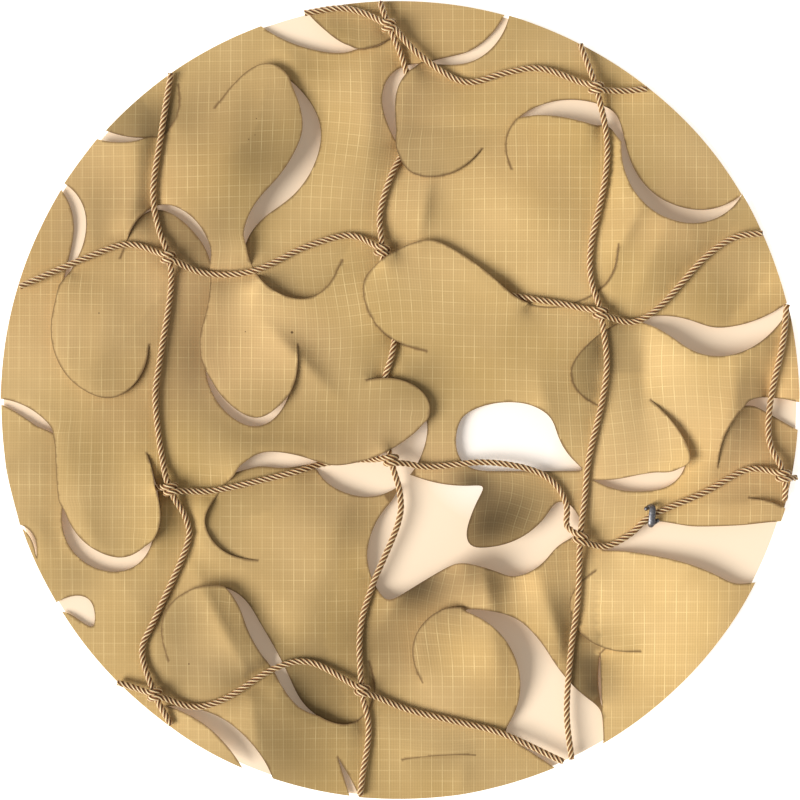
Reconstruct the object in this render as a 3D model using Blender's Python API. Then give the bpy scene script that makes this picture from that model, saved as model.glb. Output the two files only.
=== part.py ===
"""Camouflage netting: a round length of incised ripstop cloth lying on and under a knotted cord net.

The tables are in millimetres, with the middle of the round at the origin, +X right, +Y up the sheet
and +Z up from the surface that it lies on. The objects are built in metres.
"""
import math

import bmesh
import bpy
import numpy as np
from mathutils import Vector
from mathutils.geometry import delaunay_2d_cdt

MM = 0.001
RIM_RADIUS = 180.0
RIM_POINTS = 144
SHEET_THICK = 1.2
CORD_RADIUS = 1.4
PIECE_GAP = 0.35
MESH_PITCH = 8.0
CUT_KERF = 0.7

KNOT_RISE = 6.6
TURN_RADIUS = 2 * CORD_RADIUS + 2 * PIECE_GAP
TURN_PITCH = 3.9
TURN_CLEAR = 1.7 * TURN_RADIUS
TURN_STEPS = 10
LEVEL_HALF = 5.0
CORD_STEP = 8.0

# Each cut is a chain of arcs. A station is (x, y, bow): bow is how far the arc to the next station
# stands to the left of the straight line between them. The lifted side of the cut is its tongue.
# name: (tongue side, lift of the tongue's edge, stations)
CUTS = {
    "corner": ("left", 3.0, ((-100, 142, 4), (-106, 118, 5), (-148, 131, 0))),
    "left_wing": ("left", 4.0, (
        (-158, 101, 6), (-149, 66, 0), (-156, 34, -8), (-130, 0, -5), (-113, 25, 0))),
    "arch": ("left", 4.0, (
        (-126, 64, 19), (-89, 72, 5), (-89, 30, -8), (-64, -10, -7), (-46, 25, 0))),
    "crown": ("right", 7.0, (
        (-83, 131, 24), (-42, 124, 3), (-62, 92, -9), (-61, 50, -12), (-26, 63, 0))),
    "top": ("left", 4.0, ((-50, 186, -2), (-25, 159, -3), (-4, 163, 0))),
    "neck": ("left", 5.0, (
        (51, 184, 4), (30, 156, -1), (4, 149, -3), (-2, 127, -2), (4, 102, -6), (37, 113, 0))),
    "shoulder": ("right", 5.0, (
        (50, 104, 5), (55, 129, 6), (98, 130, 0), (103, 109, -7), (137, 85, -4), (163, 103, 0))),
    "middle": ("right", 6.0, (
        (12, 22, 9), (-17, 54, 3), (14, 72, 2), (50, 46, -4), (81, 44, -6), (98, 70, 0))),
    "wave": ("left", 6.0, (
        (-64, -72, 6), (-90, -54, 3), (-63, -23, 2), (-32, -30, -4), (9, -13, -3), (12, 2, -4),
        (-15, 9, 0))),
    "pouch": ("right", 6.0, ((113, 0, 2), (130, -27, 5), (110, -41, 2), (87, -36, 0))),
    "right_wave": ("right", 5.0, (
        (91, -3, 4), (76, 14, 5), (114, 38, 2), (140, 32, -5), (183, 51, 0))),
    "right_edge": ("left", 3.0, ((143, -30, 5), (157, 1, 2), (188, -4, 0))),
    "left_leaf": ("left", 6.0, (
        (-188, 1, 5), (-154, -15, 0), (-152, -44, -7), (-123, -72, -9), (-111, -38, -1),
        (-114, -24, 0))),
    "low_left": ("right", 5.0, (
        (-104, -117, 11), (-87, -83, 5), (-64, -99, 1), (-46, -134, -4), (-20, -147, -6),
        (-14, -118, 0))),
    "bottom_left": ("right", 4.0, ((-106, -138, 2), (-79, -144, 5), (-55, -180, 0))),
    "round_tongue": ("right", 7.0, ((10, -127, 7), (17, -95, 1), (30, -93, 0))),
    "right_lobe": ("left", 5.0, ((88, -77, -7), (80, -103, -3), (108, -113, 0))),
    "right_drop": ("left", 4.0, ((90, -114, 0), (91, -138, 0))),
    "right_nick": ("right", 3.0, ((157, -44, 1), (177, -51, 0))),
    "left_nick": ("left", 3.0, ((-174, -55, 4), (-165, -76, 0))),
    "bottom_tab": ("left", 2.5, ((1, -162, 2), (34, -160, 0))),
    "bottom_wedge": ("left", 3.0, ((-28, -161, 0), (-21, -184, 0))),
}

# Where a cut gapes: cut, start and end as parts of its length, where it is widest, how wide.
# A positive width opens away to the left of the cut's run, a negative one to the right.
GAPS = (
    ("corner", 0.45, 1.30, 0.95, 6),
    ("left_wing", 0.00, 0.36, 0.15, 6),
    ("arch", 0.12, 0.36, 0.24, 4),
    ("arch", 0.58, 0.88, 0.74, -4),
    ("crown", 0.22, 0.66, 0.42, 11),
    ("top", -0.31, 0.72, -0.30, -25),
    ("neck", 0.02, 0.38, 0.22, 5),
    ("neck", 0.38, 0.66, 0.50, -6),
    ("shoulder", 0.14, 0.50, 0.36, -10),
    ("shoulder", 0.46, 0.92, 0.72, -7),
    ("wave", 0.30, 0.52, 0.42, -7),
    ("wave", 0.50, 0.80, 0.64, -17),
    ("pouch", 0.40, 1.00, 0.66, -8),
    ("right_wave", 0.42, 0.95, 0.66, -13),
    ("right_edge", 0.45, 1.40, 1.00, -12),
    ("left_leaf", 0.00, 0.24, 0.16, -5),
    ("left_leaf", 0.42, 0.76, 0.58, -8),
    ("low_left", 0.30, 0.72, 0.48, -6),
    ("bottom_left", 0.02, 1.20, 0.80, -10),
    ("bottom_wedge", 0.00, 1.30, 1.00, 4),
    ("right_drop", 0.00, 1.00, 0.60, -1),
    ("left_nick", 0.00, 1.00, 0.50, 2),
)

# The wide openings, as closed chains of the same stations.
OPENINGS = {
    "window": ((28, -7, 2), (52, -1, 2), (69, -9, -3), (84, -32, 0), (36, -32, 3), (25, -21, 1)),
    "mouth": (
        (1, -32, -3), (39, -38, -1), (29, -60, -3), (36, -66, -4), (66, -52, 0), (70, -45, 0),
        (76, -46, 1), (83, -59, 0), (70, -66, 3), (50, -80, -1), (26, -72, 0), (-6, -91, 2),
        (-15, -70, 3), (-2, -44, 0)),
    "gullet": (
        (27, -94, 2), (54, -99, 1), (68, -116, -2), (91, -139, 0), (92, -155, 0), (85, -176, 0),
        (46, -150, -4), (53, -119, -5)),
    "bay": (
        (89, -68, 0), (114, -54, 0), (131, -57, -1), (187, -53, 0), (188, -80, 0), (150, -83, -2),
        (114, -70, -1)),
    "low_gap": ((-162, -96, 1), (-147, -88, 1), (-139, -90, 1), (-138, -104, 0), (-151, -95, 0)),
}

# Soft folds: x, y of the middle, heading in degrees, half length, half width, height.
FOLDS = (
    (16, 88, 100, 26, 9, 4.0),
    (24, 122, 0, 22, 8, 3.0),
    (140, 58, 40, 30, 10, 4.0),
    (-30, 20, 60, 24, 9, 3.5),
    (-75, -110, 55, 30, 9, 4.0),
    (10, -80, 15, 24, 8, 5.0),
    (-122, 92, 85, 22, 8, 3.0),
    (60, 10, 150, 30, 12, 3.0),
    (120, -130, 45, 30, 14, 3.0),
)
FOLD_DECAY = 17.0
ON_EDGE = 0.05
SETTLE = 0.7
CHANGE_REACH = 12

# Cord routes: x, y and the height of the cord's middle. A row of "knot" height is a crossing.
# Rows lower than RIDES_UNDER pass below the cloth, and all others lie on it.
RIDES_UNDER = 3.1
RUN = 4.8
LOW = 1.6
MID = 3.0
CLIP_RISE = 5.4
WARPS = {
    "warp_cord_1": (
        (-103, 147, RUN), (-107, 122, RUN), (-111, 94, RUN), (-108, 75, RUN), (-104, 64, KNOT_RISE),
        (-103, 50, RUN), (-108, 18, RUN), (-110, 0, RUN), (-107, -26, RUN), (-103, -40, KNOT_RISE),
        (-96, -54, RUN), (-96, -66, RUN), (-110, -98, RUN), (-116, -113, RUN),
        (-110, -132, KNOT_RISE), (-103, -146, RUN)),
    "warp_cord_2": (
        (-9, 179, RUN), (-5, 168, KNOT_RISE), (1, 154, 3.4), (4, 142, MID), (3, 130, MID),
        (2, 114, MID), (-4, 101, RUN), (-9, 84, RUN), (-8, 67, KNOT_RISE), (-7, 55, LOW),
        (-3, 40, LOW), (-2, 31, MID), (-4, 19, RUN), (-7, 9, MID), (-7, -4, LOW),
        (-6, -17, LOW), (-4, -27, KNOT_RISE), (0, -42, RUN), (-1, -56, RUN), (-13, -85, RUN),
        (-18, -105, RUN), (-17, -130, KNOT_RISE), (-14, -148, RUN), (-17, -170, RUN),
        (-18, -178, RUN)),
    "warp_cord_3": (
        (81, 160, RUN), (88, 140, KNOT_RISE), (93, 118, RUN), (92, 98, RUN), (86, 70, RUN),
        (86, 54, RUN), (90, 39, KNOT_RISE), (93, 18, RUN), (91, 0, RUN), (85, -26, RUN),
        (83, -45, RUN), (81, -62, KNOT_RISE), (80, -90, RUN), (77, -112, RUN), (75, -140, RUN),
        (77.2, -161.6, RUN)),
    "warp_cord_4": (
        (174, 43, RUN), (172, 25, RUN), (167, 2, RUN), (166, -18, RUN), (172, -34, KNOT_RISE),
        (173, -45, RUN)),
}
WEFTS = {
    "weft_cord_0": (
        (-43, 174, RUN), (-24, 176, RUN), (-5, 168, KNOT_RISE), (10, 154, 5.6), (29, 143, RUN),
        (47, 147, RUN), (64, 149, RUN), (88, 140, KNOT_RISE), (101, 139, RUN), (111, 140, RUN)),
    "weft_cord_1": (
        (-171, 51, RUN), (-141, 64, RUN), (-122, 70, RUN), (-104, 64, KNOT_RISE), (-88, 57, RUN),
        (-66, 58, RUN), (-42, 69, RUN), (-22, 74, RUN), (-8, 67, KNOT_RISE), (4, 60, LOW),
        (24, 54, LOW), (40, 49, LOW), (56, 46, RUN), (74, 43, RUN), (90, 39, KNOT_RISE),
        (104, 35, RUN), (117, 42, RUN), (136, 63, RUN), (150, 73, RUN), (163, 75, RUN)),
    "weft_cord_2": (
        (-176, -32, LOW), (-150, -34, LOW), (-124, -37, LOW), (-114, -39, LOW),
        (-103, -40, KNOT_RISE), (-86, -41, RUN), (-62, -36, RUN), (-46, -32, RUN), (-36, -29, LOW),
        (-22, -27, LOW), (-4, -27, KNOT_RISE), (12, -30, RUN), (38, -28, RUN), (58, -31, RUN),
        (69, -37, RUN), (75, -47, RUN), (75, -57, RUN), (81, -62, KNOT_RISE), (92, -66, RUN),
        (104, -60, RUN), (113, -52, CLIP_RISE),
        (136, -42, RUN), (157, -31, RUN), (172, -34, KNOT_RISE), (178, -35, RUN)),
    "weft_cord_3": (
        (-127, -127, RUN), (-110, -132, KNOT_RISE), (-93, -138, RUN), (-78, -134, RUN),
        (-57, -121, RUN), (-40, -118, RUN), (-17, -130, KNOT_RISE), (3, -139, RUN),
        (27, -145, RUN), (46, -150, RUN), (73.5, -162.7, RUN)),
}

# The clip grips the third weft cord in the bay.
CLIP_CENTRE = (113, -52)
CLIP_HEADING = 40.0
CLIP_RADIUS = 3.0
CLIP_WIRE = 0.75
CLIP_MOUTH = 50.0


def clear_scene():
    """Remove every object of the start-up scene."""
    for item in list(bpy.data.objects):
        bpy.data.objects.remove(item)


def make_material(name, colour, roughness, metallic=0.0):
    """A Principled finish of one linear colour."""
    material = bpy.data.materials.new(name)
    material.use_nodes = True
    shader = material.node_tree.nodes["Principled BSDF"]
    shader.inputs["Base Color"].default_value = (*colour, 1.0)
    shader.inputs["Roughness"].default_value = roughness
    shader.inputs["Metallic"].default_value = metallic
    return material


def arc_chain(stations, closed, step):
    """Points about step apart along the arcs between the stations."""
    ends = list(stations[1:])
    starts = list(stations[:-1])
    if closed:
        starts.append(stations[-1])
        ends.append(stations[0])
    points = []
    for (x0, y0, bow), (x1, y1, _) in zip(starts, ends):
        start = np.array((x0, y0), float)
        chord = np.array((x1 - x0, y1 - y0), float)
        length = np.hypot(*chord)
        left = np.array((-chord[1], chord[0])) / length
        count = max(2, round(length / step))
        t = np.arange(count)[:, None] / count
        points.append(start + t * chord + 4 * bow * t * (1 - t) * left)
    if not closed:
        points.append(np.array([stations[-1][:2]], float))
    return np.concatenate(points)


def soften(points, closed, passes=2):
    """Round off the corners where arcs meet, with the two ends of an open chain held."""
    for _ in range(passes):
        mean = (np.roll(points, 1, axis=0) + 2 * points + np.roll(points, -1, axis=0)) / 4
        if not closed:
            mean[0] = points[0]
            mean[-1] = points[-1]
        points = mean
    return points


def run_fraction(points):
    """How far along a chain each point lies, from 0 to 1."""
    run = np.concatenate(([0.0], np.cumsum(np.hypot(*np.diff(points, axis=0).T))))
    return run / run[-1]


def left_normals(points):
    """Unit vectors to the left of a chain's run."""
    along = np.gradient(points, axis=0)
    along /= np.hypot(*along.T)[:, None]
    return np.stack((-along[:, 1], along[:, 0]), axis=1)


def hump(t, start, end, peak):
    """A soft rise from 0 at start to 1 at peak and back to 0 at end."""
    rise = np.clip((t - start) / max(peak - start, 1e-6), 0, 1)
    fall = np.clip((end - t) / max(end - peak, 1e-6), 0, 1)
    value = np.minimum(rise, fall)
    return np.sin(value * math.pi / 2)


def cut_line(stations):
    """The middle line of a cut."""
    return soften(arc_chain(stations, False, MESH_PITCH * 0.7), False)


def cut_sides(name):
    """The tongue's edge of a cut and the edge that faces it, both from its start to its end."""
    side, _, stations = CUTS[name]
    line = cut_line(stations)
    t = run_fraction(line)
    kerf = CUT_KERF / 2 * np.minimum(1, 6 * np.minimum(t, 1 - t))
    left, right = kerf.copy(), kerf.copy()
    for cut, start, end, peak, width in GAPS:
        if cut == name and width > 0:
            left += hump(t, start, end, peak) * width
        elif cut == name:
            right -= hump(t, start, end, peak) * width
    normals = left_normals(line)
    left_edge = line + normals * left[:, None]
    right_edge = line - normals * right[:, None]
    return (left_edge, right_edge) if side == "left" else (right_edge, left_edge)


def inside(points, polygon):
    """Whether each point lies within a closed polygon."""
    x, y = points[:, 0, None], points[:, 1, None]
    x0, y0 = polygon.T
    x1, y1 = np.roll(polygon, -1, axis=0).T
    spans = (y0 > y) != (y1 > y)
    cross = (x1 - x0) * (y - y0) / np.where(y1 == y0, 1e-12, y1 - y0) + x0
    return (np.sum(spans & (x < cross), axis=1) % 2) == 1


def plan_mesh():
    """The flat cloth: triangles of the round with its cuts and openings taken out."""
    around = np.linspace(0, 2 * math.pi, RIM_POINTS, False)
    rim = RIM_RADIUS * np.stack((np.cos(around), np.sin(around)), axis=1)
    voids = [np.concatenate((tongue, facing[-2:0:-1])) for tongue, facing in map(cut_sides, CUTS)]
    voids += [soften(arc_chain(rows, True, MESH_PITCH * 0.7), True, 1) for rows in OPENINGS.values()]

    points, edges = [], []
    for loop in [rim] + voids:
        first = len(points)
        points += [tuple(point) for point in loop]
        edges += [(first + i, first + (i + 1) % len(loop)) for i in range(len(loop))]
    outline = np.array(points)

    row_height = MESH_PITCH * math.sqrt(0.75)
    for row in range(-24, 25):
        for column in range(-24, 25):
            spot = np.array(((column + 0.5 * (row % 2)) * MESH_PITCH, row * row_height))
            if np.hypot(*spot) > RIM_RADIUS - 0.5 * MESH_PITCH:
                continue
            if np.min(np.hypot(*(outline - spot).T)) > 0.55 * MESH_PITCH:
                points.append(tuple(spot))

    coords, _, faces, _, _, _ = delaunay_2d_cdt([Vector(p) for p in points], edges, [], 0, 1e-4)
    coords = np.array([tuple(c) for c in coords])
    faces = np.array(faces)
    middles = coords[faces].mean(axis=1)
    keep = inside(middles, rim)
    for loop in voids:
        keep &= ~inside(middles, loop)
    return largest_patch(coords, faces[keep])


def largest_patch(coords, faces):
    """The biggest connected patch of triangles, with its own vertex numbers."""
    label = np.arange(len(coords))
    while True:
        low = label[faces].min(axis=1)
        fresh = label.copy()
        np.minimum.at(fresh, faces.ravel(), np.repeat(low, 3))
        if np.array_equal(fresh, label):
            break
        label = fresh
    names, counts = np.unique(label[faces[:, 0]], return_counts=True)
    faces = faces[label[faces[:, 0]] == names[counts.argmax()]]
    used, flat = np.unique(faces, return_inverse=True)
    return coords[used], flat.reshape(-1, 3)


def mesh_edges(faces):
    """Each edge once."""
    pairs = np.concatenate((faces[:, :2], faces[:, 1:], faces[:, ::2]))
    return np.unique(np.sort(pairs, axis=1), axis=0)


def smooth_route(rows, step):
    """Points about step apart on a Catmull-Rom curve through a route's rows."""
    rows = np.array(rows, float)
    padded = np.concatenate(([2 * rows[0] - rows[1]], rows, [2 * rows[-1] - rows[-2]]))
    points = []
    for a, b, c, d in zip(padded, padded[1:], padded[2:], padded[3:]):
        count = max(1, round(np.linalg.norm(c - b) / step))
        t = np.arange(count)[:, None] / count
        points.append(0.5 * (2 * b + (c - a) * t + (2 * a - 5 * b + 4 * c - d) * t ** 2
                             + (3 * b - a - 3 * c + d) * t ** 3))
    points.append(rows[-1:])
    return np.concatenate(points)


def warp_direction(x, y):
    """The level direction of the warp cord that crosses at a knot."""
    for rows in WARPS.values():
        line = smooth_route(rows, 1.0)
        away = np.hypot(line[:, 0] - x, line[:, 1] - y)
        near = away.argmin()
        if away[near] < 1.0:
            run = line[min(near + 3, len(line) - 1)] - line[max(near - 3, 0)]
            run[2] = 0
            return run / np.linalg.norm(run)
    raise ValueError("no warp cord at this knot")


def splice(line, centre, clear, piece):
    """A path with the stretch within clear of a knot's middle replaced by another piece."""
    away = np.hypot(line[:, 0] - centre[0], line[:, 1] - centre[1])
    nearest = away.argmin()
    kept = away > clear
    before = line[:nearest + 1][kept[:nearest + 1]]
    after = line[nearest + 1:][kept[nearest + 1:]]
    return np.concatenate((before, piece, after))


def warp_route(rows):
    """A warp cord's path: its smooth run, straight and level through each knot."""
    line = smooth_route(rows, CORD_STEP)
    for x, y, z in rows:
        if z == KNOT_RISE:
            centre = np.array((x, y, z), float)
            straight = centre + np.array((-1, 0, 1))[:, None] * LEVEL_HALF * warp_direction(x, y)
            line = splice(line, centre, 1.7 * LEVEL_HALF, straight)
    return line


def weft_route(rows):
    """A weft cord's path: its smooth run, with a turn and a quarter round the warp at each knot."""
    line = smooth_route(rows, CORD_STEP)
    for x, y, z in rows:
        if z != KNOT_RISE:
            continue
        centre = np.array((x, y, z), float)
        along = warp_direction(x, y)
        nearest = np.hypot(line[:, 0] - x, line[:, 1] - y).argmin()
        travel = line[min(nearest + 1, len(line) - 1)] - line[nearest - 1]
        side = np.cross(along, (0, 0, 1))
        side *= np.sign(side @ travel)
        along *= np.sign(along @ travel) or 1
        angle = np.linspace(math.pi / 4, 2.75 * math.pi, TURN_STEPS)[:, None]
        shift = TURN_PITCH * (angle / (2 * math.pi) - 0.75)
        turn = (centre + shift * along - TURN_RADIUS * np.cos(angle) * side
                + TURN_RADIUS * np.sin(angle) * np.array((0, 0, 1.0)))
        line = splice(line, centre, TURN_CLEAR, turn)
    return line


def cord_paths():
    """Every cord's path by name."""
    paths = {name: warp_route(rows) for name, rows in WARPS.items()}
    paths.update({name: weft_route(rows) for name, rows in WEFTS.items()})
    return paths


def dense(path, step=1.0):
    """A path with extra points on its straight pieces."""
    pieces = []
    for a, b in zip(path, path[1:]):
        count = max(1, math.ceil(np.linalg.norm(b - a) / step))
        pieces.append(a + np.arange(count)[:, None] / count * (b - a))
    pieces.append(path[-1:])
    return np.concatenate(pieces)


def signed_distance(coords, line):
    """Distance from a chain, positive on the left of its nearest piece."""
    start, run = line[:-1], np.diff(line, axis=0)
    offset = coords[:, None] - start
    t = np.clip(np.sum(offset * run, axis=2) / np.sum(run * run, axis=1), 0, 1)
    away = np.hypot(*np.moveaxis(offset - t[..., None] * run, 2, 0))
    nearest = away.argmin(axis=1)
    rows = np.arange(len(coords))
    cross = run[nearest, 0] * offset[rows, nearest, 1] - run[nearest, 1] * offset[rows, nearest, 0]
    return np.where(cross > 0, away[rows, nearest], -away[rows, nearest])


def tongue_side(coords, spot):
    """Whether each point is on the tongue's side of the cut that passes nearest to a spot."""
    distances = {name: abs(signed_distance(spot[None], cut_line(rows))[0])
                 for name, (_, _, rows) in CUTS.items()}
    side, _, rows = CUTS[min(distances, key=distances.get)]
    left = signed_distance(coords, cut_line(rows)) > 0
    return left if side == "left" else ~left


def covers(coords, line):
    """Whether the cloth at each point goes over the nearest stretch of a cord, and not under it."""
    nearest = np.hypot(coords[:, None, 0] - line[:, 0], coords[:, None, 1] - line[:, 1]).argmin(axis=1)
    under = line[:, 2] < RIDES_UNDER
    over = under[nearest]
    for change in np.flatnonzero(under[1:] != under[:-1]):
        beside = np.abs(nearest - change) < CHANGE_REACH
        over[beside] = tongue_side(coords[beside], line[change, :2])
    return over


def cord_limits(coords, paths, rows_by_cord, reach):
    """The highest and lowest that the cloth's underside may lie near the cords."""
    top = np.full(len(coords), np.inf)
    bottom = np.zeros(len(coords))
    for name, path in paths.items():
        line = dense(path)
        near = np.hypot(coords[:, None, 0] - line[:, 0], coords[:, None, 1] - line[:, 1]) < reach
        band = near.any(axis=1)
        over = np.zeros(len(coords), bool)
        over[band] = covers(coords[band], smooth_route(rows_by_cord[name], 1.0))
        low = np.where(near, line[:, 2], np.inf).min(axis=1)
        high = np.where(near, line[:, 2], -np.inf).max(axis=1)
        lifted = high + CORD_RADIUS + PIECE_GAP
        pressed = np.maximum(low - CORD_RADIUS - PIECE_GAP - SHEET_THICK, 0)
        bottom = np.where(band & over, np.maximum(bottom, lifted), bottom)
        top = np.where(band & ~over, np.minimum(top, pressed), top)
    from_clip = np.hypot(coords[:, 0] - CLIP_CENTRE[0], coords[:, 1] - CLIP_CENTRE[1])
    top[from_clip < CLIP_RADIUS + MESH_PITCH] = 0
    return top, bottom


def fold_heights(coords):
    """The soft folds of the sheet."""
    height = np.zeros(len(coords))
    for x, y, heading, half_length, half_width, rise in FOLDS:
        turn = math.radians(heading)
        along = (coords[:, 0] - x) * math.cos(turn) + (coords[:, 1] - y) * math.sin(turn)
        across = (coords[:, 1] - y) * math.cos(turn) - (coords[:, 0] - x) * math.sin(turn)
        height += rise * np.exp(-(along / half_length) ** 2 - (across / half_width) ** 2)
    return height


def cloth_heights(coords, faces, paths):
    """Heights of the cloth's underside: lifted tongues, soft folds, and cords above and below."""
    edges = mesh_edges(faces)
    lifted = np.full(len(coords), np.nan)
    for name, (_, lift, _) in CUTS.items():
        tongue, _ = cut_sides(name)
        away = np.hypot(coords[:, None, 0] - tongue[:, 0], coords[:, None, 1] - tongue[:, 1])
        edge = away.min(axis=1) < ON_EDGE
        where = run_fraction(tongue)[away.argmin(axis=1)]
        lifted[edge] = lift * np.sin(math.pi * where[edge]) ** 0.7

    folds = fold_heights(coords)
    top, bottom = cord_limits(coords, paths, {**WARPS, **WEFTS}, 0.5 * MESH_PITCH + 3.4)
    held = ~np.isnan(lifted)
    height = np.where(held, lifted, folds)
    pull = MESH_PITCH ** 2 / (4 * FOLD_DECAY ** 2)
    degree = np.bincount(edges.ravel(), minlength=len(coords))
    for _ in range(400):
        total = (np.bincount(edges[:, 0], height[edges[:, 1]], len(coords))
                 + np.bincount(edges[:, 1], height[edges[:, 0]], len(coords)))
        relaxed = (total / degree + pull * folds) / (1 + pull)
        height = np.where(held, lifted, relaxed)
        height = np.maximum(np.minimum(height, top), bottom)
    settled = np.maximum(height - SETTLE, 0)
    return np.maximum(np.minimum(settled, top), bottom)


def build_cloth(paths):
    """The cloth: the plan lifted to its heights and given its thickness."""
    coords, faces = plan_mesh()
    height = cloth_heights(coords, faces, paths)
    mesh = bmesh.new()
    lower = [mesh.verts.new((x * MM, y * MM, z * MM)) for (x, y), z in zip(coords, height)]
    upper = [mesh.verts.new(v.co + Vector((0, 0, SHEET_THICK * MM))) for v in lower]
    for a, b, c in faces:
        mesh.faces.new((lower[c], lower[b], lower[a]))
        mesh.faces.new((upper[a], upper[b], upper[c]))
    runs = {}
    for a, b, c in faces:
        for pair in ((a, b), (b, c), (c, a)):
            runs[pair] = True
    for a, b in runs:
        if (b, a) not in runs:
            mesh.faces.new((lower[a], lower[b], upper[b], upper[a]))
    mesh.normal_update()
    data = bpy.data.meshes.new("cloth")
    mesh.to_mesh(data)
    mesh.free()
    data.shade_smooth()
    data.set_sharp_from_angle(angle=math.radians(50))
    cloth = bpy.data.objects.new("cloth", data)
    bpy.context.collection.objects.link(cloth)
    cloth.data.materials.append(make_material("tan_ripstop", (0.58, 0.39, 0.17), 0.85))


def build_tube(name, path, radius, material):
    """A round cord or wire with capped ends along a path."""
    curve = bpy.data.curves.new(name, "CURVE")
    curve.dimensions = "3D"
    curve.bevel_depth = radius * MM
    curve.bevel_resolution = 2
    curve.use_fill_caps = True
    spline = curve.splines.new("POLY")
    spline.points.add(len(path) - 1)
    for point, (x, y, z) in zip(spline.points, path):
        point.co = (x * MM, y * MM, z * MM, 1.0)
    tube = bpy.data.objects.new(name, curve)
    bpy.context.collection.objects.link(tube)
    tube.data.materials.append(material)


def clip_path():
    """The clip's wire: an open ring round the cord, with its mouth underneath."""
    heading = math.radians(CLIP_HEADING)
    across = np.array((-math.sin(heading), math.cos(heading), 0))
    centre = np.array((*CLIP_CENTRE, CLIP_RISE), float)
    angle = np.radians(np.linspace(-90 + CLIP_MOUTH / 2, 270 - CLIP_MOUTH / 2, 20))[:, None]
    return centre + CLIP_RADIUS * (np.cos(angle) * across + np.sin(angle) * np.array((0, 0, 1.0)))


def build():
    """All the pieces."""
    clear_scene()
    paths = cord_paths()
    build_cloth(paths)
    twine = make_material("golden_twine", (0.40, 0.22, 0.09), 0.7)
    for name, path in paths.items():
        build_tube(name, path, CORD_RADIUS, twine)
    build_tube("clip", clip_path(), CLIP_WIRE, make_material("grey_metal", (0.12, 0.13, 0.16), 0.4, 0.9))


build()
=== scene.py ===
import math

import bpy
import numpy as np
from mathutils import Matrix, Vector
from mathutils.geometry import delaunay_2d_cdt


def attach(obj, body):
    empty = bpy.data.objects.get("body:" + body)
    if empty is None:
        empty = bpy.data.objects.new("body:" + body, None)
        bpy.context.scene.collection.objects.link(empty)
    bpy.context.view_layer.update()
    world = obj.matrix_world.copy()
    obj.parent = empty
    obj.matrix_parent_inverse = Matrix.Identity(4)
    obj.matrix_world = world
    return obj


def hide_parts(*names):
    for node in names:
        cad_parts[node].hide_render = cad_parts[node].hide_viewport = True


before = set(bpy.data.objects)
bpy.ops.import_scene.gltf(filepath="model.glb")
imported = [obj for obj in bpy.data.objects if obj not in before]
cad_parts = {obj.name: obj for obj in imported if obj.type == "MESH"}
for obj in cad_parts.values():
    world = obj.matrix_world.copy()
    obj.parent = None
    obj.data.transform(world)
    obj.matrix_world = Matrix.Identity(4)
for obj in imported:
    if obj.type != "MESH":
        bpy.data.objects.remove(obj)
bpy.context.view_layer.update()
MM = 0.001

# ------------------------------------------------------------------------------------- Camera
# A camera straight above the middle of the round, level with it, and far enough away that the
# rim of the cloth just reaches the four sides of the view. No shift and no depth of field.
VIEW_WIDTH = 0.3615
LENS_MM = 100.0
SENSOR_MM = 36.0
FARTHEST_SEEN = 20.0

camera_data = bpy.data.cameras.new("camera")
camera_data.lens = LENS_MM
camera_data.sensor_width = SENSOR_MM
camera_data.clip_end = FARTHEST_SEEN
camera = bpy.data.objects.new("camera", camera_data)
camera.location = (0.0, 0.0, VIEW_WIDTH * LENS_MM / SENSOR_MM)
bpy.context.collection.objects.link(camera)
bpy.context.scene.camera = camera
bpy.context.scene.view_settings.view_transform = "Standard"

# -------------------------------------------------------------------------------------- Cords
# The net is hand-knotted from laid four-strand twine, 2.9 mm thick: four warp cords that run up
# the sheet and four weft cords across it. Each weft cord takes a turn and a quarter round the
# warp cord at a crossing, which is what holds the mesh.
CORD_DIAMETER = 2.9 * MM
CORD_RADIUS = CORD_DIAMETER / 2
LAY_LENGTH = 10.4 * MM
STRANDS = 4
GROOVE_FLOOR = 0.60
PROFILE_POINTS = 28
CORD_STEP = 0.65 * MM
ROUTE_STEP = 0.004

# The turn of a weft cord round a warp cord, from where it leaves its run to where it joins it.
TURN_RADIUS = 0.0027
TURN_PITCH = 0.0027
TURN_CLEAR = 1.8 * TURN_RADIUS
TURN_FROM = math.pi / 4
TURN_TO = 2.75 * math.pi
TURN_STEPS = 25
TURN_SOFTENING = 3
LEVEL_HALF = 0.005
LEVEL_CLEAR = 1.7 * LEVEL_HALF
LEVEL_POINTS = 5

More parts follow.
